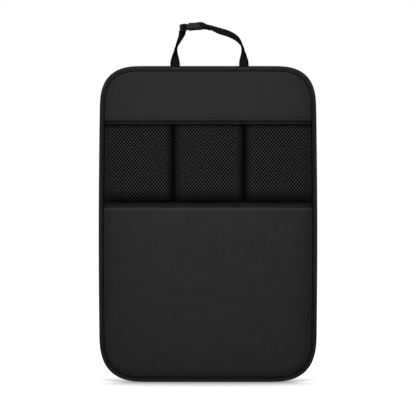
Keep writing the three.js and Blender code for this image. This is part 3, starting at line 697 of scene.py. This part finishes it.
def stitch_row(name, line, outs, pitch=STITCH_PITCH, length=STITCH_LENGTH):
    """A row of stitches along a line, each lying on the cloth whose outward ways are given."""
    line = np.array(line, float)
    outs = np.array(outs, float)
    lengths = lengths_along(line)
    count = int(lengths[-1] / pitch)
    both = np.concatenate([line, outs], axis=1)
    points = []
    faces = []
    for k in range(count):
        places = [(k + 0.5) * pitch - length / 2, (k + 0.5) * pitch + length / 2]
        start, end = [[np.interp(p, lengths, column) for column in both.T] for p in places]
        out = Vector(start[3:]).normalized()
        stitch_along(points, faces, Vector(start[:3]), Vector(end[:3]), out)
    return piece_from(name, points, faces)


def sewing_thread():
    """Black polyester thread with a slight twist and gloss."""
    finish, tree, shader = new_finish("sewing_thread", THREAD_SHADE, roughness=0.5, gloss=0.12)
    place = object_place(tree)
    emboss(tree, shader, noise(tree, place, 0.25 * MM), 0.08 * MM)
    return finish


binding_finish = woven_tape("binding_tape", BINDING_SHADE, BINDING_PAINTED_LIGHT, TOP_BINDING_PAINTED_LIGHT)
thread_finish = sewing_thread()
binding = swept("soft_edge_binding", binding_rings(), path_closed=True)
finish_piece(binding, binding_finish, "binding", "edge_binding")

seam = OUTLINE - STITCH_INSET * OUTWARD
seam_depth = EDGE_FRONT + GAP + TAPE_THICKNESS * 0.75
seam_line = [(x, -seam_depth, z) for x, z in [*seam, seam[0]]]
binding_stitches = stitch_row("binding_stitches", seam_line, [(0, -1, 0)] * len(seam_line))
finish_piece(binding_stitches, thread_finish, "binding")

# The pocket net
# One piece of stiff knotted net across all three pockets, held down at the sides, at two
# dividers and along its foot, with slack that stands forward between them.
POCKET_HEM_WIDTH = 10.3 * MM
POCKET_SIDE_INSET = BINDING_WIDTH + 2 * GAP
LEFT_DIVIDER = -71.8 * MM
RIGHT_DIVIDER = 73.6 * MM
POCKET_DEPTH = 15 * MM
MOUTH_DEPTH = 12 * MM
POCKET_SQUARENESS = 4.5
POCKET_FOOT = 24 * MM
NET_THICKNESS = 0.8 * MM
NET_HEM_THICKNESS = 0.5 * MM
NET_FOOT = BASE_TAPE_HEIGHT + BASE_TAPE_WIDTH / 2 + GAP
NET_HEAD = POCKET_TOP - POCKET_HEM_WIDTH - GAP
NET_IN_HEM = POCKET_TOP - TAPE_THICKNESS - 2 * GAP
NET_UNDER_TAPE = BASE_TAPE_HEIGHT - BASE_TAPE_WIDTH / 2 + 2 * MM
HEM_BACK = PANEL_FRONT + GAP
FOOT_RISE = 8.8 * MM
MESH_STEPS = (44, 46, 44)
MESH_ROWS = 40
HOLE_TO_KNOT = 0.66
HOLE_TO_THREAD = 0.71
KNOT_HEIGHT = 0.3 * MM
THREAD_HEIGHT = 0.12 * MM
HOLE_EDGE_DROP = 0.25 * MM
NET_SHADE = (0.134, 0.134, 0.135)
# Painted light on the net: a painted highlight along each thread, and painted shade in the creases at the
# dividers, under the hem and at the foot.
THREAD_ROUNDNESS = 11.0
RISING_THREAD = (1.0, 0.5)
FALLING_THREAD = (0.52, 1.0)
TURN_REACH = 26 * MM
CREASE_PAINTED_SHADE = [(0, 0.01), (2.5 * MM, 0.12), (5 * MM, 0.42), (16 * MM, 1)]
HEM_SHADOW = [(0, 0.15), (3 * MM, 0.3), (7 * MM, 0.8), (12 * MM, 1)]
FOOT_SHADOW = [(0, 0.15), (5 * MM, 0.45), (12 * MM, 0.75), (20 * MM, 0.82), (30 * MM, 1)]


def pocket_side(z):
    return side_at(z) - POCKET_SIDE_INSET


def bulge_share(share):
    return 1 - abs(share) ** POCKET_SQUARENESS


def net_stations():
    """Places across the pockets, evenly spaced along the bulging net, with the bulge at each."""
    walls = [-pocket_side(POCKET_TOP), LEFT_DIVIDER, RIGHT_DIVIDER, pocket_side(POCKET_TOP)]
    stations = []
    for left, right, steps in zip(walls, walls[1:], MESH_STEPS):
        half = (right - left) / 2
        shares = np.linspace(-1, 1, 201)
        curve = [(left + half * (1 + s), POCKET_DEPTH * bulge_share(s)) for s in shares]
        for x, _ in evenly(curve, steps)[1 if stations else 0 :]:
            stations.append((x, bulge_share((x - left) / half - 1)))
    return stations


def station_x(x, z):
    """The outer stations follow the bowed side of the mat."""
    reach = pocket_side(POCKET_TOP)
    return x * (1 + (pocket_side(z) / reach - 1) * abs(x / reach))


def net_back(bulge, z):
    """How far forward the back of the net is, at a height and at a share of the full bulge."""
    if z < NET_FOOT:
        return EDGE_FRONT + GAP
    up = z - NET_FOOT
    low = EDGE_FRONT + GAP + (HEM_BACK - EDGE_FRONT - GAP) * min(1, up / FOOT_RISE)
    head = (TAPE_THICKNESS + GAP) * rise(2 - (NET_HEAD - z) / FOOT_RISE)
    share = min(1, up / (NET_HEAD - NET_FOOT))
    belly = POCKET_DEPTH + (MOUTH_DEPTH - POCKET_DEPTH) * share**2
    return low + head + bulge * belly * rise(up / POCKET_FOOT) ** 0.8


STATIONS = net_stations()


class NetMesh:
    """Points and faces of the net, front and back, with one hole in each diamond of threads."""

    def __init__(self):
        self.points = []
        self.faces = []
        self.grid = []
        self.known = {}
        self.heights = [NET_UNDER_TAPE]
        self.heights += list(np.linspace(NET_FOOT, NET_HEAD, MESH_ROWS + 1))
        self.heights.append(NET_IN_HEM)
        self.across = len(STATIONS) - 1
        self.rows = len(self.heights) - 1

    def place(self, i, j, side, height):
        """A point of the sheet at a fractional station and row."""
        i0, j0 = min(int(i), self.across - 1), min(int(j), self.rows - 1)
        x0, x1 = STATIONS[i0], STATIONS[i0 + 1]
        x = x0[0] + (x1[0] - x0[0]) * (i - i0)
        bulge = x0[1] + (x1[1] - x0[1]) * (i - i0)
        z = self.heights[j0] + (self.heights[j0 + 1] - self.heights[j0]) * (j - j0)
        thin = j < 1 or j > self.rows - 1
        thickness = NET_HEM_THICKNESS if thin else NET_THICKNESS + height
        depth = net_back(bulge, z) + (thickness if side == 0 else max(0, -height) / 2)
        return (station_x(x, z), -depth, z)

    def point(self, i, j, side, height=0.0):
        key = (round(i, 3), round(j, 3), side)
        if key not in self.known:
            self.known[key] = len(self.points)
            self.points.append(self.place(i, j, side, height))
            self.grid.append((i, j))
        return self.known[key]

    def face(self, side, *corners):
        self.faces.append(corners if side == 0 else corners[::-1])

    def knot(self, i, j, side):
        inside = 1 < j < self.rows - 1
        return self.point(i, j, side, KNOT_HEIGHT if inside else 0)

    def thread(self, a, b, side):
        return self.point((a[0] + b[0]) / 2, (a[1] + b[1]) / 2, side, THREAD_HEIGHT)

    def open_diamond(self, i, j):
        knots = [(i + 1, j), (i, j + 1), (i - 1, j), (i, j - 1)]
        rims = []
        for side in (0, 1):
            rim = []
            for k, knot in enumerate(knots):
                after = knots[(k + 1) % 4]
                middle = ((knot[0] + after[0]) / 2, (knot[1] + after[1]) / 2)
                rim.append(self.toward(i, j, knot, HOLE_TO_KNOT, side))
                rim.append(self.toward(i, j, middle, HOLE_TO_THREAD, side))
            for k, knot in enumerate(knots):
                after = knots[(k + 1) % 4]
                half = self.thread(knot, after, side)
                a, b, c = rim[2 * k], rim[2 * k + 1], rim[(2 * k + 2) % 8]
                self.face(side, a, self.knot(*knot, side), half, b)
                self.face(side, b, half, self.knot(*after, side), c)
            rims.append(rim)
        for k in range(8):
            after = (k + 1) % 8
            self.faces.append((rims[0][k], rims[0][after], rims[1][after], rims[1][k]))

    def toward(self, i, j, target, share, side):
        x = i + (target[0] - i) * share
        y = j + (target[1] - j) * share
        return self.point(x, y, side, -HOLE_EDGE_DROP)

    def close_half_diamond(self, i, j, inward, sideways):
        """Half a diamond on the net's border, with no hole."""
        ahead = (i + inward[0], j + inward[1])
        near = (i + sideways[0], j + sideways[1])
        far = (i - sideways[0], j - sideways[1])
        for side in (0, 1):
            seam = [self.knot(*far, side), self.point(i, j, side), self.knot(*near, side)]
            threads = [self.thread(near, ahead, side), self.thread(ahead, far, side)]
            self.face(side, *seam, threads[0], self.knot(*ahead, side), threads[1])

    def weave(self):
        for j in range(1, self.rows):
            for i in range(self.across + 1):
                if (i + j) % 2 == 1:
                    continue
                on_side = i in (0, self.across)
                on_end = j in (1, self.rows - 1)
                if not on_side and not on_end:
                    self.open_diamond(i, j)
                elif on_end and not on_side:
                    up = 1 if j == 1 else -1
                    self.close_half_diamond(i, j, (0, up), (up, 0))
                elif on_side and not on_end:
                    inward = 1 if i == 0 else -1
                    self.close_half_diamond(i, j, (inward, 0), (0, -inward))
        for side in (0, 1):
            for j in (0, self.rows - 1):
                for i in range(self.across):
                    quad = [(i, j), (i + 1, j), (i + 1, j + 1), (i, j + 1)]
                    self.face(side, *(self.knot(*corner, side) for corner in quad))
        return self

    def rim_walls(self):
        border = [(i, 0) for i in range(self.across)]
        border += [(self.across, j) for j in range(self.rows)]
        border += [(i, self.rows) for i in range(self.across, 0, -1)]
        border += [(0, j) for j in range(self.rows, 0, -1)]
        for k, start in enumerate(border):
            end = border[(k + 1) % len(border)]
            front = [self.knot(*start, 0), self.knot(*end, 0)]
            back = [self.knot(*start, 1), self.knot(*end, 1)]
            self.faces.append((front[0], back[0], back[1], front[1]))
        return self


def thread_light(tree, across):
    """A painted highlight: 1 along the middle of the threads of one direction, falling to 0 between them.
    """
    return math_node(tree, "POWER", math_node(tree, "PINGPONG", across, 1.0), THREAD_ROUNDNESS)


def crease_light(tree, place):
    """Painted shade where the net is gathered and sewn down at the dividers, under the hem and along its
    foot; full light elsewhere.
    """
    spot = axes(tree, place)
    sides = []
    for wall in (LEFT_DIVIDER, RIGHT_DIVIDER):
        sides += [(wall - reach, light) for reach, light in CREASE_PAINTED_SHADE[:0:-1]]
        sides += [(wall + reach, light) for reach, light in CREASE_PAINTED_SHADE]
    ends = [(NET_FOOT + up, light) for up, light in FOOT_SHADOW]
    ends += [(NET_HEAD - down, light) for down, light in HEM_SHADOW[::-1]]
    across = bands(tree, spot["X"], sides)
    return math_node(tree, "MULTIPLY", across, bands(tree, spot["Z"], ends))


def turn_share(tree, place):
    """1 at the left side of each pocket, where the net turns forward, and 0 further on."""
    across = axes(tree, place)["X"]
    stops = []
    for wall in (-pocket_side(POCKET_TOP), LEFT_DIVIDER, RIGHT_DIVIDER):
        stops += [(wall - 1 * MM, 0), (wall, 1), (wall + TURN_REACH / 2, 0.8), (wall + TURN_REACH, 0)]
    return bands(tree, across, stops)


def between(tree, share, start, end):
    return math_node(tree, "MULTIPLY_ADD", share, end - start, start)


def net_cord():
    """Black net cord with a painted highlight along each thread, most on the threads that lie square to the
    light:
    those that rise to the right, and the others where the net turns forward at a pocket's left. Painted
    shade darkens its creases."""
    finish, tree, shader = new_finish("net_cord", NET_SHADE, roughness=0.5, gloss=0.0)
    place = object_place(tree)
    at = axes(tree, mapped_place(tree, "threads"))
    rising = thread_light(tree, math_node(tree, "SUBTRACT", at["X"], at["Y"]))
    falling = thread_light(tree, math_node(tree, "ADD", at["X"], at["Y"]))
    turned = turn_share(tree, place)
    threads = math_node(tree, "MULTIPLY", rising, between(tree, turned, *RISING_THREAD))
    threads = math_node(tree, "MULTIPLY_ADD", falling, between(tree, turned, *FALLING_THREAD), threads)
    paint(tree, shader, NET_SHADE, math_node(tree, "MULTIPLY", threads, crease_light(tree, place)))
    emboss(tree, shader, noise(tree, place, 0.4 * MM), 0.1 * MM)
    return finish


def map_threads(mesh, grid):
    """Stations across in U and rows up in V, so that threads cross at whole numbers."""
    layer = mesh.uv_layers.new(name="threads")
    for loop in mesh.loops:
        layer.data[loop.index].uv = grid[loop.vertex_index]


woven = NetMesh().weave().rim_walls()
net = piece_from("soft_pocket_net", woven.points, woven.faces)
map_threads(net.data, woven.grid)
finish_piece(net, net_cord(), "net", "pocket_net")

# The pocket hem
# A tape folded over the free top edge of the net, along all three mouths, and sewn through once.
# The seams at the two dividers pinch it back to the mat.
HEM_SHADE = (0.009, 0.009, 0.01)
# Painted light across the hem tape: a painted highlight on its top fold, and lighter along its lower edge
# and stitch row.
HEM_PAINTED_LIGHT = [
    (0, 1.5), (1 * MM, 4.2), (1.9 * MM, 1.4), (5 * MM, 1.25), (7.5 * MM, 1.5), (9.5 * MM, 3.7),
    (12 * MM, 2.5),
]
HEM_STITCH_HEIGHT = 206.6 * MM


def hem_section():
    """The folded tape: its height, and how far it stands out from the back of the net."""
    low = POCKET_TOP - POCKET_HEM_WIDTH
    fold = POCKET_TOP - TAPE_THICKNESS
    inside = NET_HEM_THICKNESS + 2 * GAP
    face = inside + TAPE_THICKNESS
    half = (face + TAPE_THICKNESS) / 2
    centre = (POCKET_TOP - half, half - TAPE_THICKNESS)
    turns = [math.radians(degrees) for degrees in (20, 50, 80, 100, 130, 160)]
    bend = [(centre[0] + half * math.sin(a), centre[1] + half * math.cos(a)) for a in turns]
    return [
        (low + 0.2 * MM, inside), (low, inside + TAPE_THICKNESS * 0.5), (low + 0.3 * MM, face),
        (HEM_STITCH_HEIGHT - 0.8 * MM, face), (HEM_STITCH_HEIGHT, face - 0.15 * MM),
        (HEM_STITCH_HEIGHT + 0.8 * MM, face), (centre[0], face), *bend, (centre[0], -TAPE_THICKNESS),
        (low + 0.3 * MM, -TAPE_THICKNESS), (low, -TAPE_THICKNESS * 0.5), (low + 0.2 * MM, 0),
        (fold - 0.5 * MM, 0), (fold, inside / 2), (fold - 0.5 * MM, inside),
    ]


def hem_place(station, z, out):
    depth = net_back(station[1], NET_HEAD + GAP) - GAP + out
    return (station_x(station[0], POCKET_TOP), -depth, z)


def hem_outs(line):
    """The outward way of the hem at each point of a line along it."""
    line = np.array(line)
    along = np.gradient(line, axis=0)
    outs = np.stack([along[:, 1], -along[:, 0], 0 * along[:, 0]], axis=1)
    return outs / np.linalg.norm(outs, axis=1)[:, None]


hem_rings = [[hem_place(station, z, out) for z, out in hem_section()] for station in STATIONS]
hem = swept("soft_pocket_hem", hem_rings, path_closed=False)
hem_finish = woven_tape("hem_tape", HEM_SHADE, HEM_PAINTED_LIGHT)
finish_piece(hem, hem_finish, "binding", "pocket_hem")
hem_face = NET_HEM_THICKNESS + 2 * GAP + TAPE_THICKNESS - 0.1 * MM
hem_line = [hem_place(station, HEM_STITCH_HEIGHT, hem_face) for station in STATIONS]
hem_stitches = stitch_row("hem_stitches", hem_line, hem_outs(hem_line))
finish_piece(hem_stitches, thread_finish, "binding")

# The base tape
# A flat tape sewn down over the foot of the net with two rows of stitches, right across the mat.
# Lighter along the tape's lower edge and along its two stitch rows, darker towards its upper edge.
BASE_TAPE_LEVELS = [
    (0.5 * MM, 2.2), (2.3 * MM, 1.8), (4.4 * MM, 1.4), (5.7 * MM, 1.6), (6.5 * MM, 2.3), (7.4 * MM, 1.2),
    (8.5 * MM, 0.9), (10.5 * MM, 1.1), (12 * MM, 0.8),
]
TAPE_BACK = EDGE_FRONT + 2 * GAP + NET_HEM_THICKNESS
TAPE_STITCH_HEIGHTS = (40.2 * MM, 35.8 * MM)


def base_tape_rings():
    half = BASE_TAPE_WIDTH / 2
    front = TAPE_BACK + TAPE_THICKNESS
    section = [(-half, TAPE_BACK), (half, TAPE_BACK), (half, TAPE_BACK + TAPE_THICKNESS * 0.6),
               (half - 0.4 * MM, front)]
    for height in TAPE_STITCH_HEIGHTS:
        at = height - BASE_TAPE_HEIGHT
        section += [(at + 0.8 * MM, front), (at, front - 0.15 * MM), (at - 0.8 * MM, front)]
    section += [(0.4 * MM - half, front), (-half, TAPE_BACK + TAPE_THICKNESS * 0.6)]
    side = pocket_side(BASE_TAPE_HEIGHT)
    return [[(x, -depth, BASE_TAPE_HEIGHT + up) for up, depth in reversed(section)]
            for x in np.linspace(-side, side, 61)]


base_tape = swept("soft_base_tape", base_tape_rings(), path_closed=False)
base_finish = woven_tape("base_tape", HEM_SHADE, BASE_TAPE_LEVELS)
finish_piece(base_tape, base_finish, "binding", "pocket_base_tape")
tape_side = pocket_side(BASE_TAPE_HEIGHT) - 1 * MM
tape_front = TAPE_BACK + TAPE_THICKNESS - 0.1 * MM
for row, height in enumerate(TAPE_STITCH_HEIGHTS):
    row_line = [(-tape_side, -tape_front, height), (tape_side, -tape_front, height)]
    row_made = stitch_row(f"base_tape_stitches_{row + 1}", row_line, [(0, -1, 0)] * 2)
    finish_piece(row_made, thread_finish, "binding")

# The straps
# Two lengths of ribbed webbing, sewn on behind the top edge, that twist edge-on as they rise.
# The left one is threaded up through the buckle's ladder, and the right one turns round the
# socket's bar and is sewn back on itself.
WEBBING_WIDTH = 20
WEBBING_THICKNESS = 1.3
WEBBING_LAP = 11
LEFT_STRAP_X = -67.8
RIGHT_STRAP_X = 73.9
STRAP_LEAN = 123.4
STRAP_STEPS = 220
STRAP_TURN = 135
CURL = 3.8
CURL_START = 22
CURL_END = 60
WEBBING_RIBS = 9
RIB_HEIGHT = 0.16
BUCKLE_X = -40
BUCKLE_RISE = 80.6
BUCKLE_SLOPE = 4.8
SOCKET_LENGTH = 29
LADDER_LENGTH = 18.6
LADDER_THICKNESS = 4
BAR_WIDTH = 3.6
SLOT_LENGTH = 3.2
SLACK = 0.2
MAT_TOP = TOP / MM
WEBBING_SHADE = (0.008, 0.008, 0.0088)
# Darker at both selvedges, lighter across the middle of each face.
WEBBING_EDGE_DARKENING = [
    (0, 0.5), (2.5 * MM, 0.7), (5 * MM, 1.4), (15 * MM, 1.4), (17.5 * MM, 0.7), (20 * MM, 0.5),
]
TWILL_PITCH = 4.4 * MM
PICK_PITCH = 1.2845 * MM
CROSS_PITCH = 0.8 * MM

buckle_place = Matrix.Translation((BUCKLE_X, 0, MAT_TOP + BUCKLE_RISE))
buckle_place @= Matrix.Rotation(-math.radians(BUCKLE_SLOPE), 4, "Y")
buckle_place @= Matrix.Rotation(-math.radians(180 - STRAP_LEAN), 4, "X")
buckle_across = buckle_place.to_3x3() @ Vector((0, 0, 1))


def threaded(x, y, side):
    """A stop of the webbing on the buckle: its place, and the way its width runs."""
    return buckle_place @ Vector((x, y, 0)), buckle_across * side


def free(x, y, up, heading, twist):
    """A stop of the webbing in the air, by its heading in the mat's plane and its twist."""
    turn = math.radians(heading)
    flat = Vector((math.sin(turn), 0, -math.cos(turn))) * math.cos(math.radians(twist))
    return Vector((x, y, MAT_TOP + up)), flat + Vector((0, math.sin(math.radians(twist)), 0))


def smooth_point(stops, share, even):
    """The point at a share of a smooth line through stops, with even or true spacing."""
    place = min(share * (len(stops) - 1), len(stops) - 1 - 1e-9)
    k = int(place)
    before = stops[k - 1] if k else 2 * stops[0] - stops[1]
    after = stops[k + 2] if k + 2 < len(stops) else 2 * stops[-1] - stops[-2]
    p = [before, stops[k], stops[k + 1], after]
    d = [1 if even else max((b - a).length ** 0.5, 1e-4) for a, b in zip(p, p[1:])]
    start = ((p[1] - p[0]) / d[0] - (p[2] - p[0]) / (d[0] + d[1]) + (p[2] - p[1]) / d[1]) * d[1]
    end = ((p[2] - p[1]) / d[1] - (p[3] - p[1]) / (d[1] + d[2]) + (p[3] - p[2]) / d[2]) * d[1]
    t = place - k
    square = -3 * p[1] + 3 * p[2] - 2 * start - end
    cube = 2 * p[1] - 2 * p[2] + start + end
    return p[1] + start * t + square * t**2 + cube * t**3


def webbing_section():
    """Half the width of each face is ribbed lengthwise, between two rounded selvedges."""
    half = WEBBING_WIDTH / 2
    thick = WEBBING_THICKNESS / 2
    middle = half - 1.6
    steps = WEBBING_RIBS * 4
    face = []
    for k in range(steps + 1):
        across = middle - 2 * middle * k / steps
        groove = RIB_HEIGHT * (1 - abs(math.sin(math.pi * k / 4)))
        face.append((across, thick - groove * 0.8))
    selvedge = [(half - 1.2, thick), (half - 0.4, thick * 0.8), (half, 0)]
    upper = [*selvedge[::-1][1:], *face, *[(-u, v) for u, v in selvedge]]
    return [*upper, *[(-u, -v) for u, v in upper[:-1]], (half, 0)]


def curl_at(up):
    """How far the webbing cups where it twists, from none at its foot to none at the buckle."""
    share = (up - CURL_START) / (CURL_END - CURL_START)
    return CURL * math.sin(math.pi * min(max(share, 0), 1))


def webbing_rings(stops):
    """Rings of the webbing's section along its stops, in metres."""
    places = [stop[0] for stop in stops]
    widths = [stop[1] for stop in stops]
    centres = [smooth_point(places, k / STRAP_STEPS, False) for k in range(STRAP_STEPS + 1)]
    rings = []
    for k, centre in enumerate(centres):
        along = centres[min(k + 1, STRAP_STEPS)] - centres[max(k - 1, 0)]
        width = smooth_point(widths, k / STRAP_STEPS, True)
        out = along.cross(width).normalized()
        across = out.cross(along).normalized()
        curl = curl_at(centre.z - MAT_TOP)
        cupped = [(u, v - curl * (1 - (2 * u / WEBBING_WIDTH) ** 2)) for u, v in webbing_section()]
        rings.append([(centre + across * u + out * v) * MM for u, v in cupped])
    return rings


def ribbed_webbing():
    """Black polyester webbing: a faint twill across its ribs, and darker selvedges."""
    finish, tree, shader = new_finish("ribbed_webbing", WEBBING_SHADE, roughness=0.6, gloss=0.0)
    place = mapped_place(tree, "cloth")
    round_section = axes(tree, place)["Y"]
    across = math_node(tree, "PINGPONG", round_section, WEBBING_WIDTH * MM)
    twill = between(tree, thread_wave(tree, place, "DIAGONAL", TWILL_PITCH), 0.75, 1.25)
    levels = math_node(tree, "MULTIPLY", mottle(tree, place, 6 * MM, 0.25), bands(tree, across, WEBBING_EDGE_DARKENING))
    paint(tree, shader, WEBBING_SHADE, math_node(tree, "MULTIPLY", levels, twill))
    twilled = emboss(tree, shader, thread_wave(tree, place, "DIAGONAL", PICK_PITCH), 0.12 * MM)
    emboss(tree, shader, thread_wave(tree, place, "X", CROSS_PITCH), 0.12 * MM, twilled)
    return finish


LAP_Y = -WEBBING_THICKNESS / 2
SLOT_SHIFT = 0.95
LAYER_STEP = WEBBING_THICKNESS + SLACK
OVER_BAR = LADDER_THICKNESS / 2 + SLACK + WEBBING_THICKNESS / 2
inner_slot = -LADDER_LENGTH + 2 * BAR_WIDTH + 1.5 * SLOT_LENGTH + 1
outer_slot = -LADDER_LENGTH + BAR_WIDTH + 0.5 * SLOT_LENGTH


STRAP_FOOT = [(0, LAP_Y, up, 90, 0) for up in (-WEBBING_LAP, -3, 4)]
LEFT_RISE = [
    (0.3, LAP_Y, 14, 88, 33), (1, 0, 28, 84, 67), (1.2, 1.5, 40, 75, 90), (7.4, 3.5, 51, 64, 114),
    (12, 5, 60, 60, 123), (15.2, 5.5, 66.5, 60, 126), (18, 4.8, 72, 55, 126),
]
LEFT_TAIL = [(13.6, 3.2, 71.5, 62, 125), (12.8, 3.8, 65, 62, 125), (12.2, 4, 59, 62, 124)]
RIGHT_RISE = [
    (-0.5, LAP_Y, 14, 93, -33), (-1.2, 0, 28, 98, -67), (-2, 0, 41.8, 112, -90),
    (-7.8, 0, 49.5, 128, -112), (-14.3, 0, 56.4, 139, -125), (-22.5, 0, 62.2, 148, -131),
    (-34.9, 0, 67.8, 158, -STRAP_TURN), (-47.2, 0, 71.4, 163, -STRAP_TURN),
]
RIGHT_LAP = [(-68, 0, 79.2, 168, -STRAP_LEAN), (-77, 0, 81.4, 175, -STRAP_LEAN)]


def route(x, stops):
    """Stops in the air, each measured along from the middle of the strap's foot."""
    return [free(x + along, *rest) for along, *rest in stops]


def left_stops():
    """Up behind the top edge, up through the ladder's inner slot, down the outer one, and the tail."""
    middle = (inner_slot + outer_slot) / 2
    on_ladder = [
        (inner_slot - 0.6, OVER_BAR + 1), (inner_slot + SLOT_SHIFT, 0), (inner_slot - 1.2, -OVER_BAR),
        (middle, -OVER_BAR), (outer_slot + 1.2, -OVER_BAR), (outer_slot - SLOT_SHIFT, 0),
        (outer_slot, OVER_BAR + 0.5),
    ]
    ladder = [threaded(*place, 1) for place in on_ladder]
    return route(LEFT_STRAP_X, STRAP_FOOT + LEFT_RISE) + ladder + route(LEFT_STRAP_X, LEFT_TAIL)


def right_stops():
    """Up behind the top edge, round the socket's bar, and back under itself for the length of the lap."""
    bar = SOCKET_LENGTH - BAR_WIDTH / 2
    slot = SOCKET_LENGTH - BAR_WIDTH - SLOT_LENGTH / 2
    end = SOCKET_LENGTH + SLACK
    on_bar = [
        (end, -OVER_BAR), (bar, -OVER_BAR), (slot + 1, -OVER_BAR), (slot - SLOT_SHIFT, 0),
        (slot + 1, OVER_BAR), (bar, OVER_BAR), (end, OVER_BAR),
    ]
    turned = [threaded(*place, -1) for place in on_bar]
    lap = route(RIGHT_STRAP_X, RIGHT_LAP)
    below = buckle_place.to_3x3() @ Vector((0, LAYER_STEP, 0))
    back = [(place + below, width) for place, width in lap[::-1]]
    return route(RIGHT_STRAP_X, STRAP_FOOT + RIGHT_RISE) + lap + turned + back


strap_finish = ribbed_webbing()
for side, stops in (("left", left_stops()), ("right", right_stops())):
    strap = swept(f"webbing_strap_{side}", webbing_rings(stops), path_closed=False)
    finish_piece(strap, strap_finish, "webbing", f"strap_{side}")

# The bar tacks
# A dense zigzag of thread at the foot of each strap, through the binding and the webbing's lap.
TACK_WIDTH = 22 * MM
TACK_HEIGHT = 7 * MM
TACK_TURNS = 11
TACK_Z = TOP - 5.6 * MM


def tack_line(x):
    depth = EDGE_FRONT + GAP + TAPE_THICKNESS + BINDING_CROWN * 0.8
    line = []
    for k in range(2 * TACK_TURNS + 1):
        across = x - TACK_WIDTH / 2 + TACK_WIDTH * k / (2 * TACK_TURNS)
        line.append((across, -depth, TACK_Z + TACK_HEIGHT / 2 * (-1) ** k))
    return line


for side, x in (("left", LEFT_STRAP_X * MM), ("right", RIGHT_STRAP_X * MM)):
    line = tack_line(x)
    tack = stitch_row(f"bar_tack_{side}", line, [(0, -1, 0)] * len(line), 2.4 * MM, 2.3 * MM)
    finish_piece(tack, thread_finish, "binding")

# The buckle
# A side release buckle moulded in two halves of black acetal. The halves keep the solids' own
# form, with every hard edge eased as a mould leaves it.
BUCKLE_SHADE = (0.007, 0.007, 0.0076)
EASED_EDGE = 0.22 * MM
FLAT_ANGLE = math.radians(1)
EDGE_ANGLE = math.radians(28)


def acetal():
    """Black acetal with a faint spark-eroded texture and a satin gloss."""
    finish, tree, shader = new_finish("acetal", BUCKLE_SHADE, roughness=0.35, gloss=0.065)
    place = object_place(tree)
    emboss(tree, shader, noise(tree, place, 0.35 * MM, detail=3.0), 0.03 * MM)
    return finish


def eased_copy(node, name):
    """A copy of a solid with its flat faces whole and its edges rounded."""
    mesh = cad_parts[node].data.copy()
    mesh.name = name
    shape = bmesh.new()
    shape.from_mesh(mesh)
    bmesh.ops.remove_doubles(shape, verts=shape.verts, dist=0.002 * MM)
    bmesh.ops.dissolve_limit(shape, angle_limit=FLAT_ANGLE, verts=shape.verts, edges=shape.edges)
    shape.to_mesh(mesh)
    shape.free()
    made = bpy.data.objects.new(name, mesh)
    bpy.context.scene.collection.objects.link(made)
    edges = made.modifiers.new("eased_edges", "BEVEL")
    edges.width = EASED_EDGE
    edges.segments = 2
    edges.angle_limit = EDGE_ANGLE
    mesh.shade_smooth()
    made.modifiers.new("even_shading", "WEIGHTED_NORMAL").keep_sharp = False
    return made


acetal_finish = acetal()
for half in ("buckle_socket", "buckle_prongs"):
    moulded = eased_copy(half, f"moulded_{half}")
    finish_piece(moulded, acetal_finish, "buckle", half)
